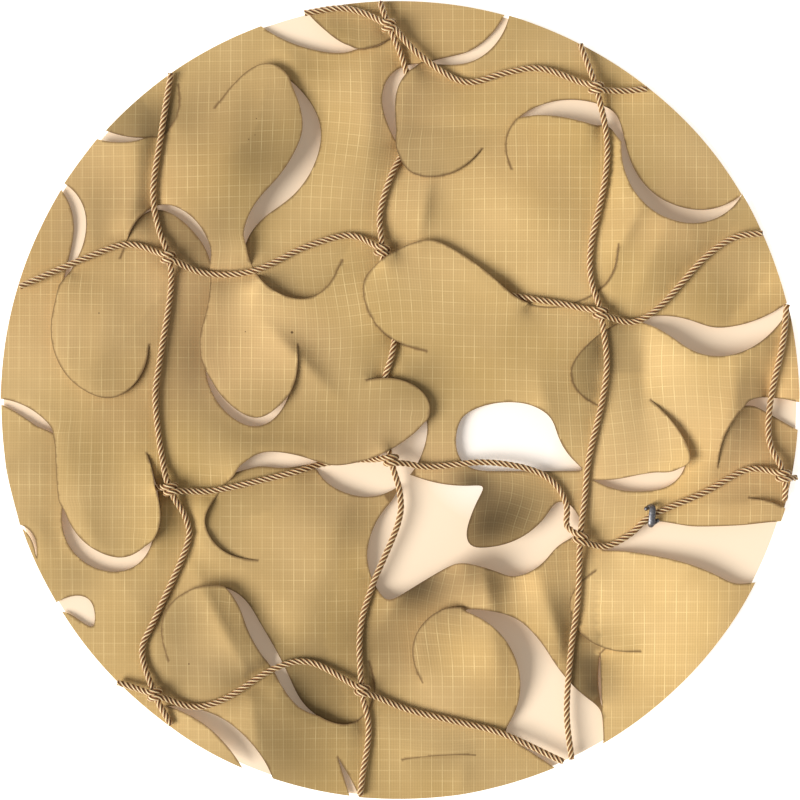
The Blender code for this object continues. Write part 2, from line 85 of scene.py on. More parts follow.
# Heights of a cord's middle: at a knot, over the cloth, under it, where it passes a cut, and at
# the clip. A route's row is x, y and height in metres.
KNOT_RISE = 0.0066
RUN = 0.0048
LOW = 0.0016
MID = 0.0030
CLIP_RISE = 0.0054
WARPS = {
    "warp_cord_1": (
        (-0.103, 0.147, RUN), (-0.107, 0.122, RUN), (-0.111, 0.094, RUN), (-0.108, 0.075, RUN),
        (-0.104, 0.064, KNOT_RISE), (-0.103, 0.050, RUN), (-0.108, 0.018, RUN), (-0.110, 0.000, RUN),
        (-0.107, -0.026, RUN), (-0.103, -0.040, KNOT_RISE), (-0.096, -0.054, RUN),
        (-0.096, -0.066, RUN), (-0.110, -0.098, RUN), (-0.116, -0.113, RUN),
        (-0.110, -0.132, KNOT_RISE), (-0.103, -0.146, RUN)),
    "warp_cord_2": (
        (-0.009, 0.179, RUN), (-0.005, 0.168, KNOT_RISE), (0.001, 0.154, 0.0034), (0.004, 0.142, MID),
        (0.003, 0.130, MID), (0.002, 0.114, MID), (-0.004, 0.101, RUN), (-0.009, 0.084, RUN),
        (-0.008, 0.067, KNOT_RISE), (-0.007, 0.055, LOW), (-0.003, 0.040, LOW), (-0.002, 0.031, MID),
        (-0.004, 0.019, RUN), (-0.007, 0.009, MID), (-0.007, -0.004, LOW), (-0.006, -0.017, LOW),
        (-0.004, -0.027, KNOT_RISE), (0.000, -0.042, RUN), (-0.001, -0.056, RUN), (-0.013, -0.085, RUN),
        (-0.018, -0.105, RUN), (-0.017, -0.130, KNOT_RISE), (-0.014, -0.148, RUN),
        (-0.017, -0.170, RUN), (-0.018, -0.178, RUN)),
    "warp_cord_3": (
        (0.081, 0.160, RUN), (0.088, 0.140, KNOT_RISE), (0.093, 0.118, RUN), (0.092, 0.098, RUN),
        (0.086, 0.070, RUN), (0.086, 0.054, RUN), (0.090, 0.039, KNOT_RISE), (0.093, 0.018, RUN),
        (0.091, 0.000, RUN), (0.085, -0.026, RUN), (0.083, -0.045, RUN), (0.081, -0.062, KNOT_RISE),
        (0.080, -0.090, RUN), (0.077, -0.112, RUN), (0.075, -0.140, RUN), (0.0772, -0.1616, RUN)),
    "warp_cord_4": (
        (0.174, 0.043, RUN), (0.172, 0.025, RUN), (0.167, 0.002, RUN), (0.166, -0.018, RUN),
        (0.172, -0.034, KNOT_RISE), (0.173, -0.045, RUN)),
}
WEFTS = {
    "weft_cord_0": (
        (-0.043, 0.174, RUN), (-0.024, 0.176, RUN), (-0.005, 0.168, KNOT_RISE), (0.010, 0.154, 0.0056),
        (0.029, 0.143, RUN), (0.047, 0.147, RUN), (0.064, 0.149, RUN), (0.088, 0.140, KNOT_RISE),
        (0.101, 0.139, RUN), (0.111, 0.140, RUN)),
    "weft_cord_1": (
        (-0.171, 0.051, RUN), (-0.141, 0.064, RUN), (-0.122, 0.070, RUN), (-0.104, 0.064, KNOT_RISE),
        (-0.088, 0.057, RUN), (-0.066, 0.058, RUN), (-0.042, 0.069, RUN), (-0.022, 0.074, RUN),
        (-0.008, 0.067, KNOT_RISE), (0.004, 0.060, LOW), (0.024, 0.054, LOW), (0.040, 0.049, LOW),
        (0.056, 0.046, RUN), (0.074, 0.043, RUN), (0.090, 0.039, KNOT_RISE), (0.104, 0.035, RUN),
        (0.117, 0.042, RUN), (0.136, 0.063, RUN), (0.150, 0.073, RUN), (0.163, 0.075, RUN)),
    "weft_cord_2": (
        (-0.176, -0.032, LOW), (-0.150, -0.034, LOW), (-0.124, -0.037, LOW), (-0.114, -0.039, LOW),
        (-0.103, -0.040, KNOT_RISE), (-0.086, -0.041, RUN), (-0.062, -0.036, RUN),
        (-0.046, -0.032, RUN), (-0.036, -0.029, LOW), (-0.022, -0.027, LOW),
        (-0.004, -0.027, KNOT_RISE), (0.012, -0.030, RUN), (0.038, -0.028, RUN), (0.058, -0.031, RUN),
        (0.069, -0.037, RUN), (0.075, -0.047, RUN), (0.075, -0.057, RUN), (0.081, -0.062, KNOT_RISE),
        (0.092, -0.066, RUN), (0.104, -0.060, RUN), (0.113, -0.052, CLIP_RISE), (0.136, -0.042, RUN),
        (0.157, -0.031, RUN), (0.172, -0.034, KNOT_RISE), (0.178, -0.035, RUN)),
    "weft_cord_3": (
        (-0.127, -0.127, RUN), (-0.110, -0.132, KNOT_RISE), (-0.093, -0.138, RUN),
        (-0.078, -0.134, RUN), (-0.057, -0.121, RUN), (-0.040, -0.118, RUN),
        (-0.017, -0.130, KNOT_RISE), (0.003, -0.139, RUN), (0.027, -0.145, RUN), (0.046, -0.150, RUN),
        (0.0735, -0.1627, RUN)),
}


def smooth_route(rows, step):
    """A Catmull-Rom curve through a route's rows: between two rows, the cubic whose slope at each
    is half the way from the row before it to the row after it."""
    rows = np.array(rows, float)
    padded = np.concatenate(([2 * rows[0] - rows[1]], rows, [2 * rows[-1] - rows[-2]]))
    points = []
    for a, b, c, d in zip(padded, padded[1:], padded[2:], padded[3:]):
        count = max(1, round(np.linalg.norm(c - b) / step))
        t = np.arange(count)[:, None] / count
        points.append(0.5 * (2 * b + (c - a) * t + (2 * a - 5 * b + 4 * c - d) * t ** 2
                             + (3 * b - a - 3 * c + d) * t ** 3))
    points.append(rows[-1:])
    return np.concatenate(points)


def warp_direction(x, y):
    """The level direction of the warp cord that crosses at a knot."""
    for rows in WARPS.values():
        line = smooth_route(rows, MM)
        away = np.hypot(line[:, 0] - x, line[:, 1] - y)
        near = away.argmin()
        if away[near] < MM:
            run = line[min(near + 3, len(line) - 1)] - line[max(near - 3, 0)]
            run[2] = 0
            return run / np.linalg.norm(run)
    raise ValueError("no warp cord at this knot")


def splice(line, centre, clear, piece):
    """A path with the stretch within clear of a knot's middle replaced by another piece."""
    away = np.hypot(line[:, 0] - centre[0], line[:, 1] - centre[1])
    nearest = away.argmin()
    kept = away > clear
    before = line[:nearest + 1][kept[:nearest + 1]]
    after = line[nearest + 1:][kept[nearest + 1:]]
    return np.concatenate((before, piece, after))


def warp_route(rows):
    """A warp cord's path: its smooth run, straight and level through each knot."""
    line = smooth_route(rows, ROUTE_STEP)
    for x, y, z in rows:
        if z == KNOT_RISE:
            centre = np.array((x, y, z), float)
            offsets = np.linspace(-1, 1, LEVEL_POINTS)[:, None] * LEVEL_HALF
            line = splice(line, centre, LEVEL_CLEAR, centre + offsets * warp_direction(x, y))
    return line


def weft_route(rows):
    """A weft cord's path: its smooth run, and at each knot a helix of a turn and a quarter round
    the warp cord, centre + pitch * turns * along - radius * (cos * side - sin * up)."""
    line = smooth_route(rows, ROUTE_STEP)
    for x, y, z in rows:
        if z != KNOT_RISE:
            continue
        centre = np.array((x, y, z), float)
        along = warp_direction(x, y)
        nearest = np.hypot(line[:, 0] - x, line[:, 1] - y).argmin()
        travel = line[min(nearest + 1, len(line) - 1)] - line[nearest - 1]
        side = np.cross(along, (0, 0, 1))
        side *= np.sign(side @ travel)
        along *= np.sign(along @ travel) or 1
        angle = np.linspace(TURN_FROM, TURN_TO, TURN_STEPS)[:, None]
        shift = TURN_PITCH * (angle - (TURN_FROM + TURN_TO) / 2) / (2 * math.pi)
        turn = (centre + shift * along - TURN_RADIUS * np.cos(angle) * side
                + TURN_RADIUS * np.sin(angle) * np.array((0, 0, 1.0)))
        line = splice(line, centre, TURN_CLEAR, turn)
    return soften(even_steps(line, CORD_STEP)[0], False, TURN_SOFTENING)


def even_steps(path, step):
    """A path measured along its length and cut into equal steps."""
    run = np.concatenate(([0.0], np.cumsum(np.linalg.norm(np.diff(path, axis=0), axis=1))))
    at = np.linspace(0, run[-1], max(2, round(run[-1] / step)) + 1)
    return np.stack([np.interp(at, run, path[:, axis]) for axis in range(3)], axis=1), run[-1]


def soften(points, closed, passes):
    """Round off the corners where arcs meet: each point becomes a quarter of each neighbour and
    half of itself, with the two ends of an open chain held."""
    for _ in range(passes):
        mean = (np.roll(points, 1, axis=0) + 2 * points + np.roll(points, -1, axis=0)) / 4
        if not closed:
            mean[0] = points[0]
            mean[-1] = points[-1]
        points = mean
    return points


def carried_frames(path):
    """Two unit vectors across a path at each point, carried along it without twisting: each pair
    is the pair before it, less what leans along the new direction."""
    along = np.gradient(path, axis=0)
    along /= np.linalg.norm(along, axis=1)[:, None]
    first = np.cross(along[0], (0, 0, 1.0))
    sides = [first / np.linalg.norm(first)]
    for tangent in along[1:]:
        side = sides[-1] - (sides[-1] @ tangent) * tangent
        sides.append(side / np.linalg.norm(side))
    sides = np.array(sides)
    return sides, np.cross(along, sides)


def tube_mesh(name, rings, attributes):
    """A closed tube from rings of points, one ring per row, with a fan over each end. Attributes
    are numbers per ring point; the middle of an end takes its ring's mean."""
    rows, around = rings.shape[:2]
    points = np.concatenate((rings.reshape(-1, 3), rings[0].mean(0)[None], rings[-1].mean(0)[None]))
    here = np.arange(around)
    there = (here + 1) % around
    base = np.arange(rows - 1)[:, None] * around
    quads = np.stack((base + here, base + there, base + there + around, base + here + around), axis=2)
    last = (rows - 1) * around
    caps = np.concatenate((np.stack((there, here, np.full(around, rows * around)), axis=1),
                           np.stack((last + here, last + there,
                                     np.full(around, rows * around + 1)), axis=1)))
    mesh = bpy.data.meshes.new(name)
    mesh.from_pydata(points.tolist(), [], quads.reshape(-1, 4).tolist() + caps.tolist())
    for label, values in attributes.items():
        flat = np.concatenate((values.ravel(), [values[0].mean()], [values[-1].mean()]))
        mesh.attributes.new(label, "FLOAT", "POINT").data.foreach_set("value", flat)
    mesh.shade_smooth()
    tube = bpy.data.objects.new(name, mesh)
    bpy.context.collection.objects.link(tube)
    return tube


def twine(name, path):
    """Laid twine along a path. Its section is the outline of four touching round strands,
    ds*cos(a) + sqrt(rs^2 - ds^2*sin(a)^2) at an angle a from the nearest strand's middle, with the
    groove between them filled to a floor, and it turns once in every lay length."""
    line, _ = even_steps(path, CORD_STEP)
    side, up = carried_frames(line)
    distance = np.arange(len(line)) * np.linalg.norm(line[1] - line[0])
    theta = np.arange(PROFILE_POINTS) * 2 * math.pi / PROFILE_POINTS
    turned = theta[None] + 2 * math.pi * distance[:, None] / LAY_LENGTH
    sector = 2 * math.pi / STRANDS
    from_strand = np.tile((theta + sector / 2) % sector - sector / 2, (len(line), 1))
    strand_radius = CORD_RADIUS / (1 + 1 / math.sin(sector / 2))
    strand_out = CORD_RADIUS - strand_radius
    inner = np.maximum(strand_radius ** 2 - (strand_out * np.sin(from_strand)) ** 2, 0)
    outline = strand_out * np.cos(from_strand) + np.sqrt(inner)
    outline = np.maximum(outline, GROOVE_FLOOR * CORD_RADIUS)
    rings = line[:, None] + outline[..., None] * (np.cos(turned)[..., None] * side[:, None]
                                                  + np.sin(turned)[..., None] * up[:, None])
    groove = np.clip((CORD_RADIUS - outline) / (CORD_RADIUS * (1 - GROOVE_FLOOR)), 0, 1)
    return tube_mesh(name, rings, {
        "groove": groove,
        "across_strand": from_strand / sector + np.floor(theta / sector + 0.5)[None],
        "along_cord": np.tile(distance[:, None], PROFILE_POINTS),
    })


def linear(hex_colour):
    """A colour written as sRGB hex, turned to linear light."""
    channels = np.array([int(hex_colour[i:i + 2], 16) for i in (1, 3, 5)]) / 255
    channels = np.where(channels <= 0.04045, channels / 12.92, ((channels + 0.055) / 1.055) ** 2.4)
    return (*channels.tolist(), 1.0)


def add_node(tree, kind, links, out=0, **settings):
    """One output of a new node of a kind with its settings. Each link is an input and what it
    takes: the output of another node, or a fixed value."""
    node = tree.nodes.new("ShaderNode" + kind)
    for setting, value in settings.items():
        setattr(node, setting, value)
    for place, source in links.items():
        if isinstance(source, bpy.types.NodeSocket):
            tree.links.new(source, node.inputs[place])
        else:
            node.inputs[place].default_value = source
    return node.outputs[out]


def new_material(name):
    """A new node material, its tree and its Principled shader."""
    material = bpy.data.materials.new(name)
    material.use_nodes = True
    return material, material.node_tree, material.node_tree.nodes["Principled BSDF"]


# Laid polyester-cotton twine, tan and faintly glossy, with a painted highlight on its strands' crowns
# and painted shade in the grooves. The filaments are 0.1 mm, drawn at 0.3 mm so that they show.
TWINE_HIGHLIGHT = "#FCE6B6"
TWINE_BODY = "#B27E42"
TWINE_GROOVE_SHADE = "#562E10"
FILAMENTS_PER_STRAND = 7.0
STREAKS_PER_METRE = 180.0
HIGHLIGHT_DEPTH = 0.20
GROOVE_SHADE_DEPTHS = (0.26, 0.90)
STREAK_SHADES = (0.72, 1.12)

laid_twine, tree, shader = new_material("laid_twine")
groove = add_node(tree, "Attribute", {}, out="Fac", attribute_name="groove")
across = add_node(tree, "Attribute", {}, out="Fac", attribute_name="across_strand")
along = add_node(tree, "Attribute", {}, out="Fac", attribute_name="along_cord")
filament_place = add_node(tree, "CombineXYZ", {
    0: add_node(tree, "Math", {0: across, 1: FILAMENTS_PER_STRAND}, operation="MULTIPLY"),
    1: add_node(tree, "Math", {0: along, 1: STREAKS_PER_METRE}, operation="MULTIPLY"),
})
filaments = add_node(tree, "TexNoise", {"Vector": filament_place, "Scale": 1.0, "Detail": 2.0})
# A highlight is painted pale on the strands' crowns, and shade is painted dark in their grooves.
highlight_mix, groove_shade_mix = [
    add_node(tree, "MapRange", {0: groove, 1: shallow, 2: deep, 3: 0.0, 4: 1.0},
             interpolation_type="SMOOTHSTEP")
    for shallow, deep in ((0.0, HIGHLIGHT_DEPTH), GROOVE_SHADE_DEPTHS)]
body = add_node(tree, "Mix", {0: highlight_mix, 6: linear(TWINE_HIGHLIGHT), 7: linear(TWINE_BODY)}, out=2,
                data_type="RGBA")
depth = add_node(tree, "Mix", {0: groove_shade_mix, 6: body, 7: linear(TWINE_GROOVE_SHADE)}, out=2,
                 data_type="RGBA")
streak = add_node(tree, "MapRange", {0: filaments, 1: 0.3, 2: 0.7, 3: STREAK_SHADES[0],
                                     4: STREAK_SHADES[1]})
twine_colour = add_node(tree, "Mix", {0: 1.0, 6: depth, 7: streak}, out=2, data_type="RGBA",
                        blend_type="MULTIPLY")
tree.links.new(twine_colour, shader.inputs["Base Color"])
shader.inputs["Roughness"].default_value = 0.52
shader.inputs["Sheen Weight"].default_value = 0.12
twine_bump = add_node(tree, "Bump", {"Height": filaments, "Strength": 0.5, "Distance": 0.15 * MM})
tree.links.new(twine_bump, shader.inputs["Normal"])

cord_paths = {name: warp_route(rows) for name, rows in WARPS.items()}
cord_paths.update({name: weft_route(rows) for name, rows in WEFTS.items()})
for name, path in cord_paths.items():
    cord = twine("laid_" + name, path)
    cord.data.materials.append(laid_twine)
    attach(cord, "root")
    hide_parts(name)

# -------------------------------------------------------------------------------------- Cloth
# One round of desert-tan ripstop, 0.45 mm with its coating, hot-knife cut so that its edges don't
# fray. Long S-shaped cuts free leaf-shaped tongues, which stand up, sag and lap over the sheet.
# The net's cords run over it and, in a few places, through the cuts and under it.
RIM_RADIUS = 180.0 * MM
RIM_POINTS = 480
SHEET_THICK = 0.45 * MM

# The flat plan: how far apart its points lie inside and on its outlines, and the width of a cut.
PITCH = 2.0 * MM
ARC_STEP = 1.5 * MM
CELL = 0.55 * PITCH
CELLS_ACROSS = 4096
PLAN_ROUNDING = 1e-4
CUT_KERF = 0.16 * MM
KERF_ENDS = 12
CUT_SOFTENING = 16
OPENING_SOFTENING = 8
CUT_EDGE_ANGLE = 50.0

# How it lies: what it keeps clear of, how far a lifted edge carries, and the swell of the whole.
GAP_TO_CORD = 0.12 * MM
FLOOR_CLEAR = 0.1 * MM
CORD_BESIDE = 0.75 * PITCH
RIDES_UNDER = 3.1 * MM
CHANGE_REACH = 12
LAP_REACH = 12.0 * MM
LAP_CLOSED = 2 * MM
LIFT_ROUNDNESS = 0.7
ON_EDGE = 0.02 * MM
FOLD_DECAY = 13.0 * MM
RELAX_STEPS = 700
SMOOTH_STEPS = 6
SWELL = 3.2 * MM
RIM_FALL = 30.0 * MM
RIM_HEIGHT = 0.40
RIPPLES = 7
RIPPLE_SEED = 11
RIPPLE_RISE = 0.22 * MM
RIPPLE_LENGTHS = (0.028, 0.075)

# Each cut is a chain of arcs in millimetres. A station is (x, y, bow): bow is how far the arc to
# the next station stands to the left of the straight line. The tongue is the side that lifts.
# name: (tongue side, lift of the tongue's edge, lap over the facing edge, stations)
CUTS = {
    "corner": ("left", 3.0, 0.8, ((-100, 142, 4), (-106, 118, 5), (-148, 131, 0))),
    "left_wing": ("left", 4.0, 1.2, (
        (-158, 101, 6), (-149, 66, 0), (-156, 34, -8), (-130, 0, -5), (-113, 25, 0))),
    "arch": ("left", 4.0, 1.4, (
        (-126, 64, 19), (-89, 72, 5), (-89, 30, -8), (-64, -10, -7), (-46, 25, 0))),
    "crown": ("right", 5.0, 1.6, (
        (-83, 131, 24), (-42, 124, 3), (-62, 92, -9), (-61, 50, -12), (-26, 63, 0))),
    "top": ("left", 4.0, 1.0, ((-50, 186, -2), (-25, 159, -3), (-4, 163, 0))),
    "neck": ("left", 4.5, 1.4, (
        (51, 184, 4), (30, 156, -1), (4, 149, -3), (-2, 127, -2), (4, 102, -6), (37, 113, 0))),
    "shoulder": ("right", 4.5, 1.4, (
        (50, 104, 5), (55, 129, 6), (98, 130, 0), (103, 109, -7), (137, 85, -4), (163, 103, 0))),
    "middle": ("right", 3.0, 1.0, (
        (12, 22, 9), (-17, 54, 3), (14, 72, 2), (50, 46, -4), (81, 44, -6), (98, 70, 0))),
    "wave": ("left", 5.0, 1.6, (
        (-64, -72, 6), (-90, -54, 3), (-63, -23, 2), (-32, -30, -4), (9, -13, -3), (12, 2, -4),
        (-15, 9, 0))),
    "pouch": ("right", 5.0, 1.6, ((113, 0, 2), (130, -27, 5), (110, -41, 2), (87, -36, 0))),
    "right_wave": ("right", 5.5, 1.4, (
        (91, -3, 4), (76, 14, 5), (114, 38, 2), (140, 32, -5), (183, 51, 0))),
    "right_edge": ("left", 3.0, 1.0, ((143, -30, 5), (157, 1, 2), (188, -4, 0))),
    "left_leaf": ("left", 5.0, 1.6, (
        (-188, 1, 5), (-154, -15, 0), (-152, -44, -7), (-123, -72, -9), (-111, -38, -1),
        (-114, -24, 0))),
    "low_left": ("right", 4.5, 1.4, (
        (-104, -117, 11), (-87, -83, 5), (-64, -99, 1), (-46, -134, -4), (-20, -147, -6),
        (-14, -118, 0))),
    "bottom_left": ("right", 3.0, 1.0, ((-106, -138, 2), (-79, -144, 5), (-55, -180, 0))),
    "round_tongue": ("right", 6.0, 1.6, ((10, -127, 7), (17, -95, 1), (30, -93, 0))),
    "right_lobe": ("left", 5.0, 1.4, ((88, -77, -7), (80, -103, -3), (108, -113, 0))),
    "right_drop": ("left", 4.0, 1.0, ((90, -114, 0), (91, -138, 0))),
    "right_nick": ("right", 3.0, 0.8, ((157, -44, 1), (177, -51, 0))),
    "left_nick": ("left", 3.0, 0.8, ((-174, -55, 3), (-164, -71, 0))),
    "bottom_tab": ("left", 3.0, 1.0, ((1, -162, 2), (34, -160, 0))),
    "bottom_wedge": ("left", 3.0, 0.8, ((-28, -161, 0), (-21, -184, 0))),
}

# Where a cut gapes: cut, start and end as parts of its length, where it is widest, how wide in
# millimetres. A positive width opens to the left of the cut's run, a negative one to the right.
GAPS = (
    ("corner", 0.45, 1.30, 0.95, 6),
    ("left_wing", 0.00, 0.36, 0.15, 6),
    ("arch", 0.12, 0.36, 0.24, 4),
    ("arch", 0.58, 0.88, 0.74, -4),
    ("crown", 0.22, 0.66, 0.44, 10),
    ("top", -0.31, 0.72, -0.30, -25),
    ("neck", 0.02, 0.38, 0.22, 5),
    ("neck", 0.38, 0.66, 0.50, -6),
    ("shoulder", 0.14, 0.50, 0.36, -10),
    ("shoulder", 0.46, 0.92, 0.72, -7),
    ("wave", 0.30, 0.52, 0.42, -7),
    ("wave", 0.50, 0.80, 0.64, -17),
    ("pouch", 0.40, 1.00, 0.66, -8),
    ("right_wave", 0.42, 0.95, 0.66, -13),
    ("right_edge", 0.45, 1.40, 1.00, -12),
    ("left_leaf", 0.00, 0.24, 0.16, -5),
    ("left_leaf", 0.42, 0.76, 0.58, -8),
    ("low_left", 0.30, 0.72, 0.48, -6),
    ("bottom_left", 0.02, 1.20, 0.80, -10),
    ("bottom_wedge", 0.00, 1.30, 1.00, 4),
    ("right_drop", 0.00, 1.00, 0.60, -1),
    ("left_nick", 0.00, 1.00, 0.50, 2),
)

# The wide openings, as closed chains of the same stations.
OPENINGS = {
    "window": ((28, -7, 2), (52, -1, 2), (69, -9, -3), (84, -32, 0), (36, -32, 3), (25, -21, 1)),
    "mouth": (
        (1, -32, -3), (39, -38, -1), (29, -60, -3), (36, -66, -4), (66, -52, 0), (70, -45, 0),
        (76, -46, 1), (83, -59, 0), (70, -66, 3), (50, -80, -1), (26, -72, 0), (-6, -91, 2),
        (-15, -70, 3), (-2, -44, 0)),
    "gullet": (
        (27, -94, 2), (54, -99, 1), (68, -116, -2), (91, -139, 0), (92, -155, 0), (85, -176, 0),
        (46, -150, -4), (53, -119, -5)),
    "bay": (
        (89, -68, 0), (114, -54, 0), (131, -57, -1), (187, -53, 0), (188, -80, 0), (150, -83, -2),
        (114, -70, -1)),
    "low_gap": ((-162, -96, 1), (-147, -88, 1), (-139, -90, 1), (-138, -104, 0), (-151, -95, 0)),
}

# How far the edge that faces a tongue sinks, in millimetres.
DROPS = {
    "arch": 3.0, "crown": 2.0, "left_leaf": 1.6, "wave": 1.8, "low_left": 2.0, "round_tongue": 2.0,
    "right_wave": 1.6, "pouch": 1.2, "shoulder": 1.6, "left_wing": 1.8, "neck": 1.2,
}

# Folds: x, y of the middle, heading in degrees, half length, reach to the left of the heading and
# to its right, crest radius and rise, all in millimetres. A negative rise is a hollow.
FOLDS = (
    (-76, 112, 85, 34, 20, 18, 8, 6.0),
    (-63, 56, 80, 12, 8, 10, 2, 4.0),
    (-45, 18, -46, 18, 5, 26, 2.0, 5.5),
    (-118, 106, 88, 22, 8, 5, 2, 3.0),
    (-124, 76, 62, 14, 6, 16, 2, 3.5),
    (-48, 152, -50, 12, 8, 10, 2.5, 2.8),
    (-14, 128, 88, 28, 26, 8, 4, 4.5),
    (-22, 110, 14, 15, 2.5, 2.0, 0.8, 0.9),
    (11, 86, 80, 14, 12, 4, 1.2, 3.2),
    (103, 77.5, 62, 13, 12, 4, 1.2, 3.6),
    (114, 64, 66, 24, 10, 28, 3, 4.5),
    (158, 46, 48, 22, 10, 5, 1.0, -3.6),
    (110, 14, 90, 20, 9, 8, 1.0, -4.0),
    (147, -6, 75, 24, 22, 13, 3, 7.5),
    (25, 123, 0, 26, 4, 6, 1.5, -1.5),
    (98, 127, -70, 14, 9, 5, 2, 2.2),
    (-79, -102, -63, 30, 11, 26, 1.0, 8.5),
    (-66, -142, -82, 24, 11, 16, 1.0, 7.5),
    (-108, -56, 80, 16, 7, 6, 1.5, 3.0),
    (1, -84, 60, 18, 16, 8, 1.5, 8.0),
    (39, -85, 100, 12, 10, 6, 1.5, 5.5),
    (72, -109, -72, 26, 10, 14, 1.5, 9.0),
    (156, -47, 5, 18, 4, 5, 1.5, 2.5),
    (66, -8, 100, 15, 6, 10, 2, 3.5),
    (26, -66, 112, 14, 8, 24, 3, 13.0),
    (42, -112, 95, 18, 22, 9, 4, 6.0),
    (144, -98, 60, 34, 34, 10, 6, 6.0),
    (28, -172, 80, 10, 4, 5, 1.5, 2.0),
    (25, 45, 20, 34, 22, 22, 12, 2.5),
    (55, 80, 60, 30, 24, 20, 10, 2.5),
    (135, 120, -50, 26, 16, 12, 6, 3.0),
    (-135, 20, 80, 30, 14, 12, 6, 3.0),
    (-140, -50, 90, 26, 16, 12, 6, 3.0),
    (-30, -60, 70, 30, 26, 10, 5, 4.0),
)

# Light and shade painted into the cloth's colour: x, y, reach in millimetres, and how much,
# above 0 where light is painted and below 0 where shade is painted.
PAINTED_LIGHT_AND_SHADE = (
    (118, -105, 44, 1.7), (122, 15, 16, 0.6), (122, -33, 12, 0.7), (172, 5, 18, 1.8),
    (-150, 55, 34, 0.3), (-60, 35, 20, 0.6), (-76, 14, 13, 0.7), (-15, 140, 20, 0.4),
    (62, 85, 36, 0.6), (-94, 15, 16, -0.6), (-62, 108, 14, -0.9), (-82, 122, 22, -0.7),
    (-103, 125, 16, -0.6), (-135, 78, 18, -0.8), (-146, -78, 12, -0.8), (-52, -160, 24, -1.1),
    (-42, -125, 32, -1.2), (8, -82, 14, -2.4), (46, -82, 6, -0.9), (50, -50, 14, -1.9),
    (96, 22, 15, -0.5), (-2, 0, 22, -0.8), (-30, -45, 28, -0.5), (-68, -8, 18, -0.5),
    (-115, 130, 13, -0.6), (140, 58, 18, -0.6), (30, -112, 14, 0.7), (-118, 10, 16, 0.3),
    (33, -38, 10, -2.4), (-78, 80, 14, -1.1), (-55, -102, 12, 1.0), (-12, -105, 15, -0.9),
    (124, -33, 14, 0.9), (-120, -35, 14, 0.7), (84, -118, 8, -1.5), (87, -131, 8, -1.5),
    (38, -57, 9, -1.4), (108, 142, 12, 0.9), (152, 18, 14, 0.8), (33, -78, 9, -1.0),
    (58, -82, 9, 1.6), (56, -101, 12, 1.0), (-101, -100, 16, -1.1), (-101, -122, 13, -1.0),
    (-78, -122, 12, -0.8), (11, 12, 12, -0.7), (168, 56, 12, 0.8),
)

# Shade painted on the strip beside a cut that a lap overhangs: cut, start and end as parts of
# its length, where it is deepest, how far it reaches in millimetres, and how much. A positive
# reach lies to the left of the cut's run, a negative one to the right.
PAINTED_CUT_SHADE = (
    ("corner", 0.00, 1.10, 0.45, -24, -1.3),
    ("left_wing", 0.00, 0.50, 0.20, -14, -0.5),
    ("arch", 0.00, 0.52, 0.22, -20, -1.4),
    ("arch", 0.36, 1.00, 0.60, -19, -1.2),
    ("crown", 0.62, 1.05, 0.80, 14, -1.4),
    ("crown", 0.10, 0.60, 0.35, -16, -1.1),
    ("top", 0.00, 1.00, 0.35, 14, -0.6),
    ("neck", 0.58, 0.98, 0.76, 16, -0.7),
    ("shoulder", 0.48, 0.80, 0.62, 13, -0.9),
    ("left_leaf", 0.10, 0.55, 0.30, -14, -0.8),
    ("left_leaf", 0.55, 1.00, 0.85, -8, -0.7),
    ("wave", 0.00, 0.42, 0.20, -26, -0.8),
    ("low_left", 0.35, 0.85, 0.60, 22, -0.7),
    ("right_wave", 0.00, 0.48, 0.25, -24, -1.2),
    ("right_edge", 0.00, 1.00, 0.35, -18, -0.7),
    ("right_lobe", 0.00, 0.80, 0.40, -10, -0.9),
    ("right_drop", -1.20, 2.20, 0.50, -26, -2.1),
    ("bottom_tab", 0.00, 1.10, 0.60, -10, -0.7),
)

# Where the weave is pulled out of square: x, y, reach in millimetres, and degrees of turn.
WEAVE_TURNS = (
    (-22, 112, 34, 7),
    (-20, 48, 30, -9),
    (14, -82, 20, 16),
    (54, -52, 20, 20),
    (105, -8, 36, -7),
)

# Dark specks on the cloth: x, y and radius in millimetres.
SPECKS = (
    (-64.5, 125.0, 0.30), (-65.0, 117.5, 0.30), (-67.7, 115.7, 0.35), (-49.3, 31.5, 0.75),
    (-69.5, 31.0, 0.35), (-135.0, 39.0, 0.40), (-94.7, -118.4, 0.45),
)


def arc_chain(stations, closed, step):
    """Points about step apart, in metres, on parabolic arcs between stations in millimetres:
    start + t * chord + 4 * bow * t * (1 - t) * left."""
    ends = list(stations[1:])
    starts = list(stations[:-1])
    if closed:
        starts.append(stations[-1])
        ends.append(stations[0])
    points = []
    for (x0, y0, bow), (x1, y1, _) in zip(starts, ends):
        start = np.array((x0, y0)) * MM
        chord = np.array((x1 - x0, y1 - y0)) * MM
        length = np.hypot(*chord)
        left = np.array((-chord[1], chord[0])) / length
        count = max(2, round(length / step))
        t = np.arange(count)[:, None] / count
        points.append(start + t * chord + 4 * bow * MM * t * (1 - t) * left)
    if not closed:
        points.append(np.array([stations[-1][:2]]) * MM)
    return np.concatenate(points)


def run_fraction(points):
    """How far along a chain each point lies, from 0 to 1."""
    run = np.concatenate(([0.0], np.cumsum(np.hypot(*np.diff(points, axis=0).T))))
    return run / run[-1]


def left_normals(points):
    """Unit vectors to the left of a chain's run."""
    along = np.gradient(points, axis=0)
    along /= np.hypot(*along.T)[:, None]
    return np.stack((-along[:, 1], along[:, 0]), axis=1)


def hump(t, start, end, peak):
    """The sine of a quarter turn on the lesser of the rise from start to peak and the fall from
    peak to end, so 0 at start and end and 1 at the peak."""
    rise = np.clip((t - start) / max(peak - start, 1e-6), 0, 1)
    fall = np.clip((end - t) / max(end - peak, 1e-6), 0, 1)
    return np.sin(np.minimum(rise, fall) * math.pi / 2)


def cut_line(stations):
    """The middle line of a cut."""
    return soften(arc_chain(stations, False, ARC_STEP), False, CUT_SOFTENING)


